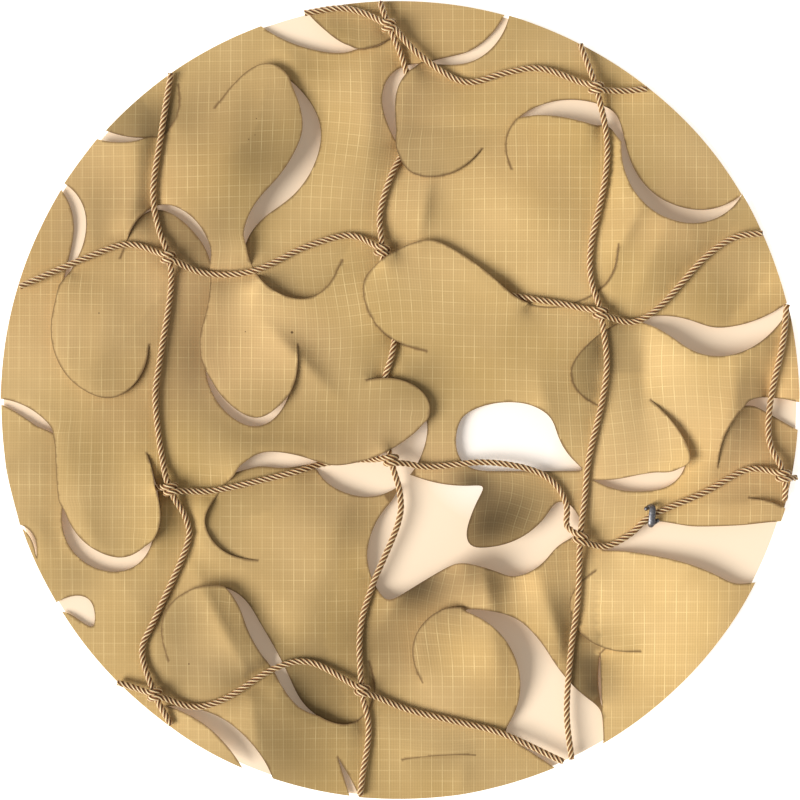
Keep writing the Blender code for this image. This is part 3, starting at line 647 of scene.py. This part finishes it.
def gape(name, t):
    """How far a cut opens to its left and to its right at each fraction of its run."""
    left = np.zeros(len(t))
    right = np.zeros(len(t))
    for cut, start, end, peak, width in GAPS:
        if cut == name and width > 0:
            left += hump(t, start, end, peak) * width * MM
        elif cut == name:
            right -= hump(t, start, end, peak) * width * MM
    return left, right


def cut_sides(name):
    """The tongue's edge of a cut and the edge that faces it, both from its start to its end."""
    side, _, _, stations = CUTS[name]
    line = cut_line(stations)
    t = run_fraction(line)
    kerf = CUT_KERF / 2 * np.minimum(1, KERF_ENDS * np.minimum(t, 1 - t))
    left, right = gape(name, t)
    normals = left_normals(line)
    left_edge = line + normals * (kerf + left)[:, None]
    right_edge = line - normals * (kerf + right)[:, None]
    return (left_edge, right_edge) if side == "left" else (right_edge, left_edge)


def inside(points, polygon):
    """Whether each point lies within a closed polygon, by counting the edges that a line to its
    right crosses. Points outside the polygon's box aren't tested."""
    result = np.zeros(len(points), bool)
    near = np.all((points >= polygon.min(axis=0)) & (points <= polygon.max(axis=0)), axis=1)
    x, y = points[near, 0, None], points[near, 1, None]
    x0, y0 = polygon.T
    x1, y1 = np.roll(polygon, -1, axis=0).T
    spans = (y0 > y) != (y1 > y)
    cross = (x1 - x0) * (y - y0) / np.where(y1 == y0, 1e-15, y1 - y0) + x0
    result[near] = (np.sum(spans & (x < cross), axis=1) % 2) == 1
    return result


def cloth_plan():
    """The flat cut cloth: a Delaunay mesh of the outlines and of a triangular lattice of points a
    pitch apart, without the triangles whose middles lie in a cut or an opening."""
    around = np.linspace(0, 2 * math.pi, RIM_POINTS, False)
    rim = RIM_RADIUS * np.stack((np.cos(around), np.sin(around)), axis=1)
    voids = [np.concatenate((tongue, facing[-2:0:-1])) for tongue, facing in map(cut_sides, CUTS)]
    voids += [soften(arc_chain(rows, True, ARC_STEP), True, OPENING_SOFTENING)
              for rows in OPENINGS.values()]

    loops = [rim] + voids
    outline = np.concatenate(loops)
    edges = []
    first = 0
    for loop in loops:
        turn = np.arange(len(loop))
        edges += (first + np.stack((turn, (turn + 1) % len(loop)), axis=1)).tolist()
        first += len(loop)

    half = round(RIM_RADIUS / PITCH) + 2
    column, row = np.meshgrid(np.arange(-half, half + 1), np.arange(-half * 1.2, half * 1.2 + 1))
    lattice = np.stack(((column + 0.5 * (row % 2)) * PITCH, row * PITCH * math.sqrt(0.75)), axis=2)
    lattice = lattice.reshape(-1, 2)
    lattice = lattice[np.hypot(*lattice.T) < RIM_RADIUS - 0.6 * PITCH]
    taken = np.floor(outline / CELL).astype(int) @ (1, CELLS_ACROSS)
    free = np.ones(len(lattice), bool)
    for step_x in (-1, 0, 1):
        for step_y in (-1, 0, 1):
            spot = (np.floor(lattice / CELL).astype(int) + (step_x, step_y)) @ (1, CELLS_ACROSS)
            free &= ~np.isin(spot, taken)

    points = np.concatenate((outline, lattice[free])) / MM
    found = delaunay_2d_cdt([Vector(p) for p in points], edges, [], 0, PLAN_ROUNDING)
    coords = np.array([tuple(c) for c in found[0]]) * MM
    faces = np.array(found[2])
    middles = coords[faces].mean(axis=1)
    keep = inside(middles, rim)
    for loop in voids:
        keep &= ~inside(middles, loop)
    return largest_patch(coords, faces[keep])


def largest_patch(coords, faces):
    """The biggest connected patch of triangles, with its own vertex numbers: every vertex takes
    the lowest label that a triangle of its own has, until none changes."""
    label = np.arange(len(coords))
    while True:
        fresh = label.copy()
        np.minimum.at(fresh, faces.ravel(), np.repeat(label[faces].min(axis=1), 3))
        fresh = fresh[fresh]
        if np.array_equal(fresh, label):
            break
        label = fresh
    names, counts = np.unique(label[faces[:, 0]], return_counts=True)
    faces = faces[label[faces[:, 0]] == names[counts.argmax()]]
    used, flat = np.unique(faces, return_inverse=True)
    return coords[used], flat.reshape(-1, 3)


def signed_distance(coords, line):
    """Distance from a chain, positive on the left of its nearest piece, and how far along the
    chain that place is, from 0 to 1."""
    start, run = line[:-1], np.diff(line, axis=0)
    offset = coords[:, None] - start
    t = np.clip(np.sum(offset * run, axis=2) / np.sum(run * run, axis=1), 0, 1)
    away = np.hypot(*np.moveaxis(offset - t[..., None] * run, 2, 0))
    nearest = away.argmin(axis=1)
    rows = np.arange(len(coords))
    cross = run[nearest, 0] * offset[rows, nearest, 1] - run[nearest, 1] * offset[rows, nearest, 0]
    fraction = run_fraction(line)
    along = fraction[nearest] + t[rows, nearest] * (fraction[nearest + 1] - fraction[nearest])
    return np.where(cross > 0, away[rows, nearest], -away[rows, nearest]), along


def lapped(coords):
    """The cloth's points slid in their plane: a tongue's points move towards the edge that faces
    it by lap * sin(pi * t) * exp(-(distance / reach) ^ 2), t being the place along the cut."""
    moved = coords.copy()
    for name, (side, _, lap, stations) in CUTS.items():
        line = cut_line(stations)
        away, t = signed_distance(coords, line)
        tongue = away > 0 if side == "left" else away < 0
        near = tongue & (np.abs(away) < 2.5 * LAP_REACH)
        closed = 1 - np.clip(sum(gape(name, t[near])) / LAP_CLOSED, 0, 1)
        slide = lap * MM * np.sin(math.pi * t[near]) * closed
        slide *= np.exp(-(away[near] / LAP_REACH) ** 2)
        normals = left_normals(line)
        fraction = run_fraction(line)
        towards = np.stack([np.interp(t[near], fraction, normals[:, axis]) for axis in (0, 1)], axis=1)
        moved[near] += (-1 if side == "left" else 1) * slide[:, None] * towards
    return moved


def tongue_side(coords, spot):
    """Whether each point is on the tongue's side of the cut that passes nearest to a spot."""
    distances = {name: abs(signed_distance(spot[None], cut_line(row[3]))[0][0])
                 for name, row in CUTS.items()}
    side, _, _, stations = CUTS[min(distances, key=distances.get)]
    left = signed_distance(coords, cut_line(stations))[0] > 0
    return left if side == "left" else ~left


def goes_over(coords, placed, line):
    """Whether the cloth at each point goes over the nearest stretch of a cord, and not under it."""
    nearest = np.hypot(placed[:, None, 0] - line[:, 0], placed[:, None, 1] - line[:, 1]).argmin(axis=1)
    under = line[:, 2] < RIDES_UNDER
    over = under[nearest]
    for change in np.flatnonzero(under[1:] != under[:-1]):
        beside = np.abs(nearest - change) < CHANGE_REACH
        over[beside] = tongue_side(coords[beside], line[change, :2])
    return over


def cord_limits(coords, placed):
    """The highest and lowest that the cloth's underside may lie near the cords."""
    top = np.full(len(coords), np.inf)
    bottom = np.full(len(coords), FLOOR_CLEAR)
    reach = CORD_RADIUS + GAP_TO_CORD + CORD_BESIDE
    for name, path in cord_paths.items():
        line, _ = even_steps(path, MM)
        low_corner, high_corner = line.min(axis=0)[:2] - reach, line.max(axis=0)[:2] + reach
        box = np.flatnonzero(np.all((placed > low_corner) & (placed < high_corner), axis=1))
        near = np.hypot(placed[box, None, 0] - line[:, 0], placed[box, None, 1] - line[:, 1]) < reach
        touched = near.any(axis=1)
        band, near = box[touched], near[touched]
        over = goes_over(coords[band], placed[band], smooth_route({**WARPS, **WEFTS}[name], MM))
        low = np.where(near, line[:, 2], np.inf).min(axis=1)
        high = np.where(near, line[:, 2], -np.inf).max(axis=1)
        lifted = high + CORD_RADIUS + GAP_TO_CORD
        pressed = np.maximum(low - CORD_RADIUS - GAP_TO_CORD - SHEET_THICK, FLOOR_CLEAR)
        bottom[band] = np.where(over, np.maximum(bottom[band], lifted), bottom[band])
        top[band] = np.where(over, top[band], np.minimum(top[band], pressed))
    return top, bottom


def fold_heights(places):
    """The sheet's own folds: each is a crest that falls away on either side as
    rise * exp(-(sqrt(across ^ 2 + crest ^ 2) - crest) / reach - (along / half length) ^ 2), on a
    general swell that sinks towards the rim, with a slow ripple of a few sines."""
    height = np.full(len(places), SWELL)
    for x, y, heading, half_length, left, right, crest, rise in FOLDS:
        turn = math.radians(heading)
        from_x, from_y = places[:, 0] - x * MM, places[:, 1] - y * MM
        along = from_x * math.cos(turn) + from_y * math.sin(turn)
        across = from_y * math.cos(turn) - from_x * math.sin(turn)
        away = np.hypot(across, crest * MM) - crest * MM
        reach = np.where(across > 0, left, right) * MM
        height = height + rise * MM * np.exp(-away / reach - (along / (half_length * MM)) ** 2)
    waves = np.random.default_rng(RIPPLE_SEED)
    for _ in range(RIPPLES):
        heading, phase = waves.uniform(0, 2 * math.pi, 2)
        length = waves.uniform(*RIPPLE_LENGTHS)
        across = places[:, 0] * math.cos(heading) + places[:, 1] * math.sin(heading)
        height = height + RIPPLE_RISE * np.sin(2 * math.pi * across / length + phase)
    return height * np.interp(RIM_RADIUS - np.hypot(*places.T), (0, RIM_FALL), (RIM_HEIGHT, 1))


def relaxed(height, edges, degree, pull):
    """Each point's mean of its neighbours, pulled a little towards nought."""
    total = (np.bincount(edges[:, 0], height[edges[:, 1]], len(height))
             + np.bincount(edges[:, 1], height[edges[:, 0]], len(height)))
    return total / degree / (1 + pull)


def points_on(coords, line):
    """The points that lie on an edge line, and how far along it each is, from 0 to 1."""
    close = np.flatnonzero(np.all((coords > line.min(axis=0) - PITCH)
                                  & (coords < line.max(axis=0) + PITCH), axis=1))
    away = np.hypot(coords[close, None, 0] - line[:, 0], coords[close, None, 1] - line[:, 1])
    found = away.min(axis=1) < ON_EDGE
    return close[found], run_fraction(line)[away.argmin(axis=1)][found]


def cloth_heights(coords, placed, faces):
    """Heights of the cloth's underside. The tongues' edges are held up by lift * sin(pi * t) ^ 0.7,
    the rest settles towards the folds, and cords hold it down or up."""
    pairs = np.concatenate((faces[:, :2], faces[:, 1:], faces[:, ::2]))
    edges = np.unique(np.sort(pairs, axis=1), axis=0)
    folds = fold_heights(placed)
    lifted = np.full(len(coords), np.nan)
    for name, (_, lift, _, _) in CUTS.items():
        tongue, facing = cut_sides(name)
        for edge_line, rise in ((facing, -DROPS.get(name, 0.0)), (tongue, lift)):
            if rise == 0:
                continue
            edge, t = points_on(coords, edge_line)
            lifted[edge] = folds[edge] + rise * MM * np.sin(math.pi * t) ** LIFT_ROUNDNESS
    top, bottom = cord_limits(coords, placed)
    top = np.maximum(top, bottom)
    held = ~np.isnan(lifted)
    raised = np.where(held, lifted - folds, 0.0)
    departure = raised
    pull = PITCH ** 2 / (4 * FOLD_DECAY ** 2)
    degree = np.bincount(edges.ravel(), minlength=len(coords))
    for _ in range(RELAX_STEPS):
        departure = relaxed(departure, edges, degree, pull)
        departure = np.where(held, raised, departure)
        departure = np.clip(departure, bottom - folds, top - folds)
    for _ in range(SMOOTH_STEPS):
        departure = relaxed(departure, edges, degree, 0.0)
        departure = np.clip(departure, bottom - folds, top - folds)
    return folds + departure


def weave_places(coords):
    """Where each point lies on the straight weave: its plan place, turned about the middle of each
    pull area by degrees * exp(-(distance / reach) ^ 2)."""
    places = coords.copy()
    for x, y, reach, degrees in WEAVE_TURNS:
        offset = coords - np.array((x, y)) * MM
        angle = math.radians(degrees) * np.exp(-(np.hypot(*offset.T) / (reach * MM)) ** 2)
        turned = np.stack((offset[:, 0] * np.cos(angle) - offset[:, 1] * np.sin(angle),
                           offset[:, 0] * np.sin(angle) + offset[:, 1] * np.cos(angle)), axis=1)
        places += turned - offset
    return places


def painted_light_and_shade_amounts(coords):
    """How much light or shade is painted into the cloth's colour: the sum of amount * exp(-(distance /
    reach) ^ 2) from each painted spot, and on one side of the shaded cuts of amount * hump *
    exp(-distance / reach)."""
    painted_light_shade = np.zeros(len(coords))
    for x, y, reach, amount in PAINTED_LIGHT_AND_SHADE:
        away = np.hypot(coords[:, 0] - x * MM, coords[:, 1] - y * MM)
        painted_light_shade += amount * np.exp(-(away / (reach * MM)) ** 2)
    for name, start, end, peak, reach, amount in PAINTED_CUT_SHADE:
        away, t = signed_distance(coords, cut_line(CUTS[name][3]))
        beside = away * reach > 0
        painted_light_shade += beside * amount * hump(t, start, end, peak) * np.exp(-np.abs(away / (reach * MM)))
    return painted_light_shade


# Cotton-polyester ripstop, piece-dyed tan: a thick pair of threads stands out pale every 4.8 mm
# both ways, and the plain weave between them is matt and slightly uneven in its dye. Its threads
# are 0.25 mm, drawn at 1.2 mm so that they show.
RIPSTOP_PITCH = 4.77 * MM
RIPSTOP_HALF = 0.26 * MM
THREAD_PITCH = 1.19 * MM
TAN_LIGHT = "#CCAC76"
TAN_DARK = "#BF9F65"
TAN_PINK = "#BE976C"
RIPSTOP_PALE = "#EDD196"
SPECK_BROWN = "#4A3018"
# A brown band along the cut edges: partly the singe of the hot knife, partly painted shade at the
# edges.
SINGE_AND_SHADE_BROWN = "#6E5230"
# How far the painted light and shade scale the cloth's colour up or down.
PAINTED_LIGHT_SHADE_RANGE = (0.72, 1.28)
RIPSTOP_STRENGTHS = (0.90, 0.55)
SLUB_STRENGTHS = (0.15, 1.0)
PINK_STRENGTH = 0.45
GRAIN_SHADES = (0.96, 1.04)
SINGE_AND_SHADE_STRENGTH = 0.8
SPECK_STRENGTH = 0.85

tan_ripstop, tree, shader = new_material("tan_ripstop")
weave = add_node(tree, "UVMap", {}, uv_map="weave")
dye, pink, slub = [
    add_node(tree, "TexNoise", {"Vector": weave, "Scale": scale, "Detail": detail,
                                "Distortion": distortion})
    for scale, detail, distortion in ((14.0, 3.0, 0.0), (9.0, 1.0, 0.4), (70.0, 2.0, 0.0))]
threads = []
ripstops = []
for axis, strength in enumerate(RIPSTOP_STRENGTHS):
    across = add_node(tree, "SeparateXYZ", {0: weave}, out=axis)
    scaled = add_node(tree, "Math", {0: across, 1: 1 / RIPSTOP_PITCH}, operation="MULTIPLY")
    swing = add_node(tree, "Math", {0: scaled, 1: 0.5}, operation="PINGPONG")
    ripstops.append(add_node(tree, "MapRange", {
        0: swing, 1: RIPSTOP_HALF / RIPSTOP_PITCH, 2: 0.1 * RIPSTOP_HALF / RIPSTOP_PITCH,
        3: 0.0, 4: strength}, interpolation_type="SMOOTHSTEP"))
    fine = add_node(tree, "Math", {0: across, 1: 2 * math.pi / THREAD_PITCH}, operation="MULTIPLY")
    threads.append(add_node(tree, "Math", {0: fine}, operation="SINE"))
ripstop = add_node(tree, "Math", {0: ripstops[0], 1: ripstops[1]}, operation="MAXIMUM")
uneven = add_node(tree, "MapRange", {0: slub, 1: 0.3, 2: 0.7, 3: SLUB_STRENGTHS[0],
                                     4: SLUB_STRENGTHS[1]})
ripstop_mix = add_node(tree, "Math", {0: ripstop, 1: uneven}, operation="MULTIPLY")
thread = add_node(tree, "Math", {0: threads[0], 1: threads[1]}, operation="ADD")
dye_mix = add_node(tree, "MapRange", {0: dye, 1: 0.35, 2: 0.65, 3: 0.0, 4: 1.0})
pink_mix = add_node(tree, "MapRange", {0: pink, 1: 0.45, 2: 0.75, 3: 0.0, 4: PINK_STRENGTH})
ground = add_node(tree, "Mix", {0: dye_mix, 6: linear(TAN_DARK), 7: linear(TAN_LIGHT)}, out=2,
                  data_type="RGBA")
ground = add_node(tree, "Mix", {0: pink_mix, 6: ground, 7: linear(TAN_PINK)}, out=2, data_type="RGBA")
grain = add_node(tree, "MapRange", {0: thread, 1: -2.0, 2: 2.0, 3: GRAIN_SHADES[0], 4: GRAIN_SHADES[1]})
ground = add_node(tree, "Mix", {0: 1.0, 6: ground, 7: grain}, out=2, data_type="RGBA",
                  blend_type="MULTIPLY")
lined = add_node(tree, "Mix", {0: ripstop_mix, 6: ground, 7: linear(RIPSTOP_PALE)}, out=2,
                 data_type="RGBA")
# Painted light and shade: the cloth's colour is scaled up or down by the attribute built from the
# painted patches.
painted_light_shade = add_node(tree, "Attribute", {}, out="Fac", attribute_name="painted_light_shade")
painted_light_shade_factor = add_node(tree, "MapRange", {0: painted_light_shade, 1: -1.0, 2: 1.0, 3: PAINTED_LIGHT_SHADE_RANGE[0], 4: PAINTED_LIGHT_SHADE_RANGE[1]},
                       clamp=False)
cloth_colour = add_node(tree, "Mix", {0: 1.0, 6: lined, 7: painted_light_shade_factor}, out=2, data_type="RGBA",
                        blend_type="MULTIPLY")
# Cut edges darken to brown: the hot knife's singe together with painted shade at the edges.
singe_and_shade = add_node(tree, "Attribute", {}, out="Fac", attribute_name="singe_and_shade")
singe_and_shade_mix = add_node(tree, "MapRange", {0: singe_and_shade, 1: 0.62, 2: 0.95, 3: 0.0, 4: SINGE_AND_SHADE_STRENGTH})
cloth_colour = add_node(tree, "Mix", {0: singe_and_shade_mix, 6: cloth_colour, 7: linear(SINGE_AND_SHADE_BROWN)}, out=2,
                        data_type="RGBA")
for x, y, radius in SPECKS:
    away = add_node(tree, "VectorMath", {0: weave, 1: (x * MM, y * MM, 0.0)}, out="Value",
                    operation="DISTANCE")
    speck = add_node(tree, "MapRange", {0: away, 1: radius * MM, 2: 0.5 * radius * MM, 3: 0.0,
                                        4: SPECK_STRENGTH})
    cloth_colour = add_node(tree, "Mix", {0: speck, 6: cloth_colour, 7: linear(SPECK_BROWN)}, out=2,
                            data_type="RGBA")
tree.links.new(cloth_colour, shader.inputs["Base Color"])
shader.inputs["Roughness"].default_value = 0.85
shader.inputs["Sheen Weight"].default_value = 0.10
shader.inputs["Specular IOR Level"].default_value = 0.3
rib = add_node(tree, "Math", {0: ripstop, 1: 4.0}, operation="MULTIPLY")
relief = add_node(tree, "Math", {0: thread, 1: rib}, operation="ADD")
weave_bump = add_node(tree, "Bump", {"Height": relief, "Strength": 0.25, "Distance": 0.05 * MM})
tree.links.new(weave_bump, shader.inputs["Normal"])


def two_faced(underside, faces):
    """A closed sheet from its underside: the same triangles turned over below, again a thickness
    higher above, and a wall between the two along every edge that only one triangle has. Its
    points, its faces and the underside's points that lie on such an edge."""
    count = len(underside)
    runs = np.concatenate((faces[:, :2], faces[:, 1:], faces[:, ::-2]))
    rim = runs[~np.isin(runs @ (count, 1), runs @ (1, count))]
    points = np.concatenate((underside, underside + (0, 0, SHEET_THICK)))
    wall = np.column_stack((rim, rim[:, ::-1] + count))
    triangles = np.concatenate((wall[:, :3], wall[:, (0, 2, 3)]))
    return points, np.concatenate((faces[:, ::-1], faces + count, triangles)), np.unique(rim)


plan_coords, plan_faces = cloth_plan()
placed = lapped(plan_coords)
underside = np.column_stack((placed, cloth_heights(plan_coords, placed, plan_faces)))
sheet_points, sheet_faces, edge_points = two_faced(underside, plan_faces)
on_edge = np.isin(np.arange(len(plan_coords)), edge_points)
# Every cut and opening edge takes the singe and the painted edge shade; the rim does not.
singed_and_shaded = on_edge & (np.hypot(*plan_coords.T) < RIM_RADIUS - MM)
cloth_mesh = bpy.data.meshes.new("incised_cloth")
cloth_mesh.from_pydata(sheet_points.tolist(), [], sheet_faces.tolist())
on_weave = np.tile(weave_places(plan_coords), (2, 1))[sheet_faces.ravel()]
cloth_mesh.uv_layers.new(name="weave").data.foreach_set("uv", on_weave.ravel())
# The painted light and shade, and the singe with its painted edge shade, go to the cloth as attributes.
for label, values in (("painted_light_shade", painted_light_and_shade_amounts(plan_coords)), ("singe_and_shade", singed_and_shaded.astype(float))):
    cloth_mesh.attributes.new(label, "FLOAT", "POINT").data.foreach_set("value", np.tile(values, 2))
cloth_mesh.materials.append(tan_ripstop)
cloth_mesh.shade_smooth()
cloth_mesh.set_sharp_from_angle(angle=math.radians(CUT_EDGE_ANGLE))
cloth = bpy.data.objects.new("incised_cloth", cloth_mesh)
bpy.context.collection.objects.link(cloth)
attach(cloth, "root")
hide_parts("cloth")

# --------------------------------------------------------------------------------------- Clip
# A crimped steel ring with a grey phosphate finish, which pins the cloth's edge to a weft cord. It
# is one flattened wire: a bar over the cord, whose two ends are bent round under it and stand out
# beside it.
CLIP_CENTRE = (0.113, -0.052)
CLIP_TURN = -4.0
CLIP_AROUND = 24
CLIP_WIRE_RADIUS = 1.0 * MM
CLIP_BAR_HALF = 1.5 * MM
CLIP_BAR_DEPTH = 0.75 * MM
CLIP_STEP = 0.3
CLIP_END_SQUARENESS = 24
CLIP_END_LEAST = 0.04
CLIP_BAR_RUN = (2.2, 4.0)

# Points of the wire, in millimetres, from the clip's middle: across, along the bar, up.
CLIP_WIRE = (
    (-2.7, 2.9, 0.9), (-2.5, 3.0, -0.4), (-1.5, 3.6, -1.4), (-0.4, 4.2, -0.8), (0.0, 4.4, 0.6),
    (0.0, 3.7, 2.2), (0.0, 1.8, 2.9), (0.0, 0.0, 3.0), (0.0, -1.8, 2.9), (0.0, -3.7, 2.2),
    (0.0, -4.4, 0.6), (0.6, -4.0, -0.8), (1.7, -3.0, -1.4), (2.8, -2.1, -0.4), (3.0, -1.9, 0.9))
STEEL_GREY = "#77777D"
STEEL_WORN = "#B0AEAE"

phosphated_steel, tree, shader = new_material("phosphated_steel")
object_place = add_node(tree, "TexCoord", {}, out="Object")
mottle = add_node(tree, "TexNoise", {"Vector": object_place, "Scale": 900.0, "Detail": 4.0})
worn = add_node(tree, "MapRange", {0: mottle, 1: 0.45, 2: 0.7, 3: 0.0, 4: 1.0})
clip_colour = add_node(tree, "Mix", {0: worn, 6: linear(STEEL_GREY), 7: linear(STEEL_WORN)}, out=2,
                       data_type="RGBA")
tree.links.new(clip_colour, shader.inputs["Base Color"])
shader.inputs["Metallic"].default_value = 1.0
clip_rough = add_node(tree, "MapRange", {0: mottle, 1: 0.3, 2: 0.7, 3: 0.62, 4: 0.45})
tree.links.new(clip_rough, shader.inputs["Roughness"])
clip_bump = add_node(tree, "Bump", {"Height": mottle, "Strength": 0.3, "Distance": 0.05 * MM})
tree.links.new(clip_bump, shader.inputs["Normal"])


def flattened_wire(line, broad):
    """Rings of an oval wire along a path: middle + wide * cos(a) * side + deep * sin(a) * up. The
    side lies along broad as nearly as the path lets it, the wire is flattened where its place t,
    from -1 to 1, is near 0, and its ends close by sqrt(1 - |t| ^ squareness)."""
    tangent = np.gradient(line, axis=0)
    tangent /= np.linalg.norm(tangent, axis=1)[:, None]
    side = broad - np.sum(broad * tangent, axis=1)[:, None] * tangent
    side /= np.linalg.norm(side, axis=1)[:, None]
    up = np.cross(tangent, side)
    theta = np.arange(CLIP_AROUND) * 2 * math.pi / CLIP_AROUND
    t = np.abs(np.linspace(-1, 1, len(line)))[:, None]
    closing = np.sqrt(np.clip(1 - t ** CLIP_END_SQUARENESS, CLIP_END_LEAST, 1))
    bar = np.clip(CLIP_BAR_RUN[0] - CLIP_BAR_RUN[1] * t, 0, 1)
    wide = closing * (CLIP_WIRE_RADIUS + bar * (CLIP_BAR_HALF - CLIP_WIRE_RADIUS))
    deep = closing * (CLIP_WIRE_RADIUS + bar * (CLIP_BAR_DEPTH - CLIP_WIRE_RADIUS))
    return (line[:, None] + (wide * np.cos(theta))[..., None] * side[:, None]
            + (deep * np.sin(theta))[..., None] * up[:, None])


wire_line, _ = even_steps(smooth_route(CLIP_WIRE, CLIP_STEP) * MM, CLIP_STEP * MM)
turn = math.radians(CLIP_TURN)
turned_wire = np.stack((wire_line[:, 0] * math.cos(turn) - wire_line[:, 1] * math.sin(turn),
                        wire_line[:, 0] * math.sin(turn) + wire_line[:, 1] * math.cos(turn),
                        wire_line[:, 2]), axis=1) + (*CLIP_CENTRE, CLIP_RISE)
clip = tube_mesh("crimped_clip", flattened_wire(turned_wire, (math.cos(turn), math.sin(turn), 0.0)), {})
clip.data.materials.append(phosphated_steel)
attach(clip, "root")
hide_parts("clip")

# --------------------------------------------------------------------------- Table and lights
# A plain white table top with a round cream board under the net, and a wide soft lamp low on its
# left with an even room around it, so that the folds shade and the edges drop soft shadows. A pool
# of light is painted on the board, nearly white round one spot.
BOARD_RADIUS = 179.2 * MM
BOARD_DROP = 0.45 * MM
FLOOR_DROP = 0.6 * MM
FLOOR_HALF = 3.0
FLOOR_WHITE = "#FFFDFA"
BOARD_CREAM = "#F0DBC0"
LIGHT_POOL_WHITE = "#FFF7EE"
LIGHT_POOL_CENTRE = (0.047, -0.016, 0.0)
LIGHT_POOL_REACH = (0.022, 0.042)
BOARD_GLOW = 0.17
FLOOR_GLOW = 0.7
MATT_ROUGHNESS = 0.9
LAMP_COLOUR = (1.0, 0.98, 0.95)
ROOM_COLOUR = (1.0, 0.99, 0.97, 1.0)
LAMP_FROM = (-0.85, -0.36, 0.70)
LAMP_SPREAD = 0.60
LAMP_STRENGTH = 3.85
ROOM_STRENGTH = 0.34

white_table, _, table_shader = new_material("white_table")
table_shader.inputs["Base Color"].default_value = linear(FLOOR_WHITE)
table_shader.inputs["Emission Color"].default_value = linear(FLOOR_WHITE)
table_shader.inputs["Emission Strength"].default_value = FLOOR_GLOW
table_shader.inputs["Roughness"].default_value = MATT_ROUGHNESS

cream_board, tree, shader = new_material("cream_board")
board_place = add_node(tree, "TexCoord", {}, out="Object")
# A painted pool of light: the board turns from cream to nearly white near one spot.
away_from_light_pool = add_node(tree, "VectorMath", {0: board_place, 1: LIGHT_POOL_CENTRE}, out="Value",
                      operation="DISTANCE")
light_pool_mix = add_node(tree, "MapRange", {0: away_from_light_pool, 1: LIGHT_POOL_REACH[0], 2: LIGHT_POOL_REACH[1], 3: 1.0,
                                        4: 0.0})
board_colour = add_node(tree, "Mix", {0: light_pool_mix, 6: linear(BOARD_CREAM), 7: linear(LIGHT_POOL_WHITE)},
                        out=2, data_type="RGBA")
tree.links.new(board_colour, shader.inputs["Base Color"])
tree.links.new(board_colour, shader.inputs["Emission Color"])
shader.inputs["Emission Strength"].default_value = BOARD_GLOW
shader.inputs["Roughness"].default_value = MATT_ROUGHNESS

floor_mesh = bpy.data.meshes.new("floor")
floor_mesh.from_pydata([(x * FLOOR_HALF, y * FLOOR_HALF, -FLOOR_DROP)
                        for x, y in ((-1, -1), (1, -1), (1, 1), (-1, 1))], [], [(0, 1, 2, 3)])
around = np.linspace(0, 2 * math.pi, RIM_POINTS, False)
board_mesh = bpy.data.meshes.new("board")
board_mesh.from_pydata(np.column_stack((BOARD_RADIUS * np.cos(around), BOARD_RADIUS * np.sin(around),
                                        np.full(RIM_POINTS, -BOARD_DROP))).tolist(),
                       [], [list(range(RIM_POINTS))])
for mesh, material in ((floor_mesh, white_table), (board_mesh, cream_board)):
    mesh.materials.append(material)
    stage_piece = bpy.data.objects.new(mesh.name, mesh)
    bpy.context.collection.objects.link(stage_piece)

lamp_data = bpy.data.lights.new("soft_lamp", "SUN")
lamp_data.angle = LAMP_SPREAD
lamp_data.energy = LAMP_STRENGTH
lamp_data.color = LAMP_COLOUR
lamp = bpy.data.objects.new("soft_lamp", lamp_data)
lamp.rotation_euler = Vector(LAMP_FROM).to_track_quat("Z", "Y").to_euler()
bpy.context.collection.objects.link(lamp)

room = bpy.data.worlds.new("room")
room.use_nodes = True
background = room.node_tree.nodes["Background"]
background.inputs["Color"].default_value = ROOM_COLOUR
background.inputs["Strength"].default_value = ROOM_STRENGTH
bpy.context.scene.world = room
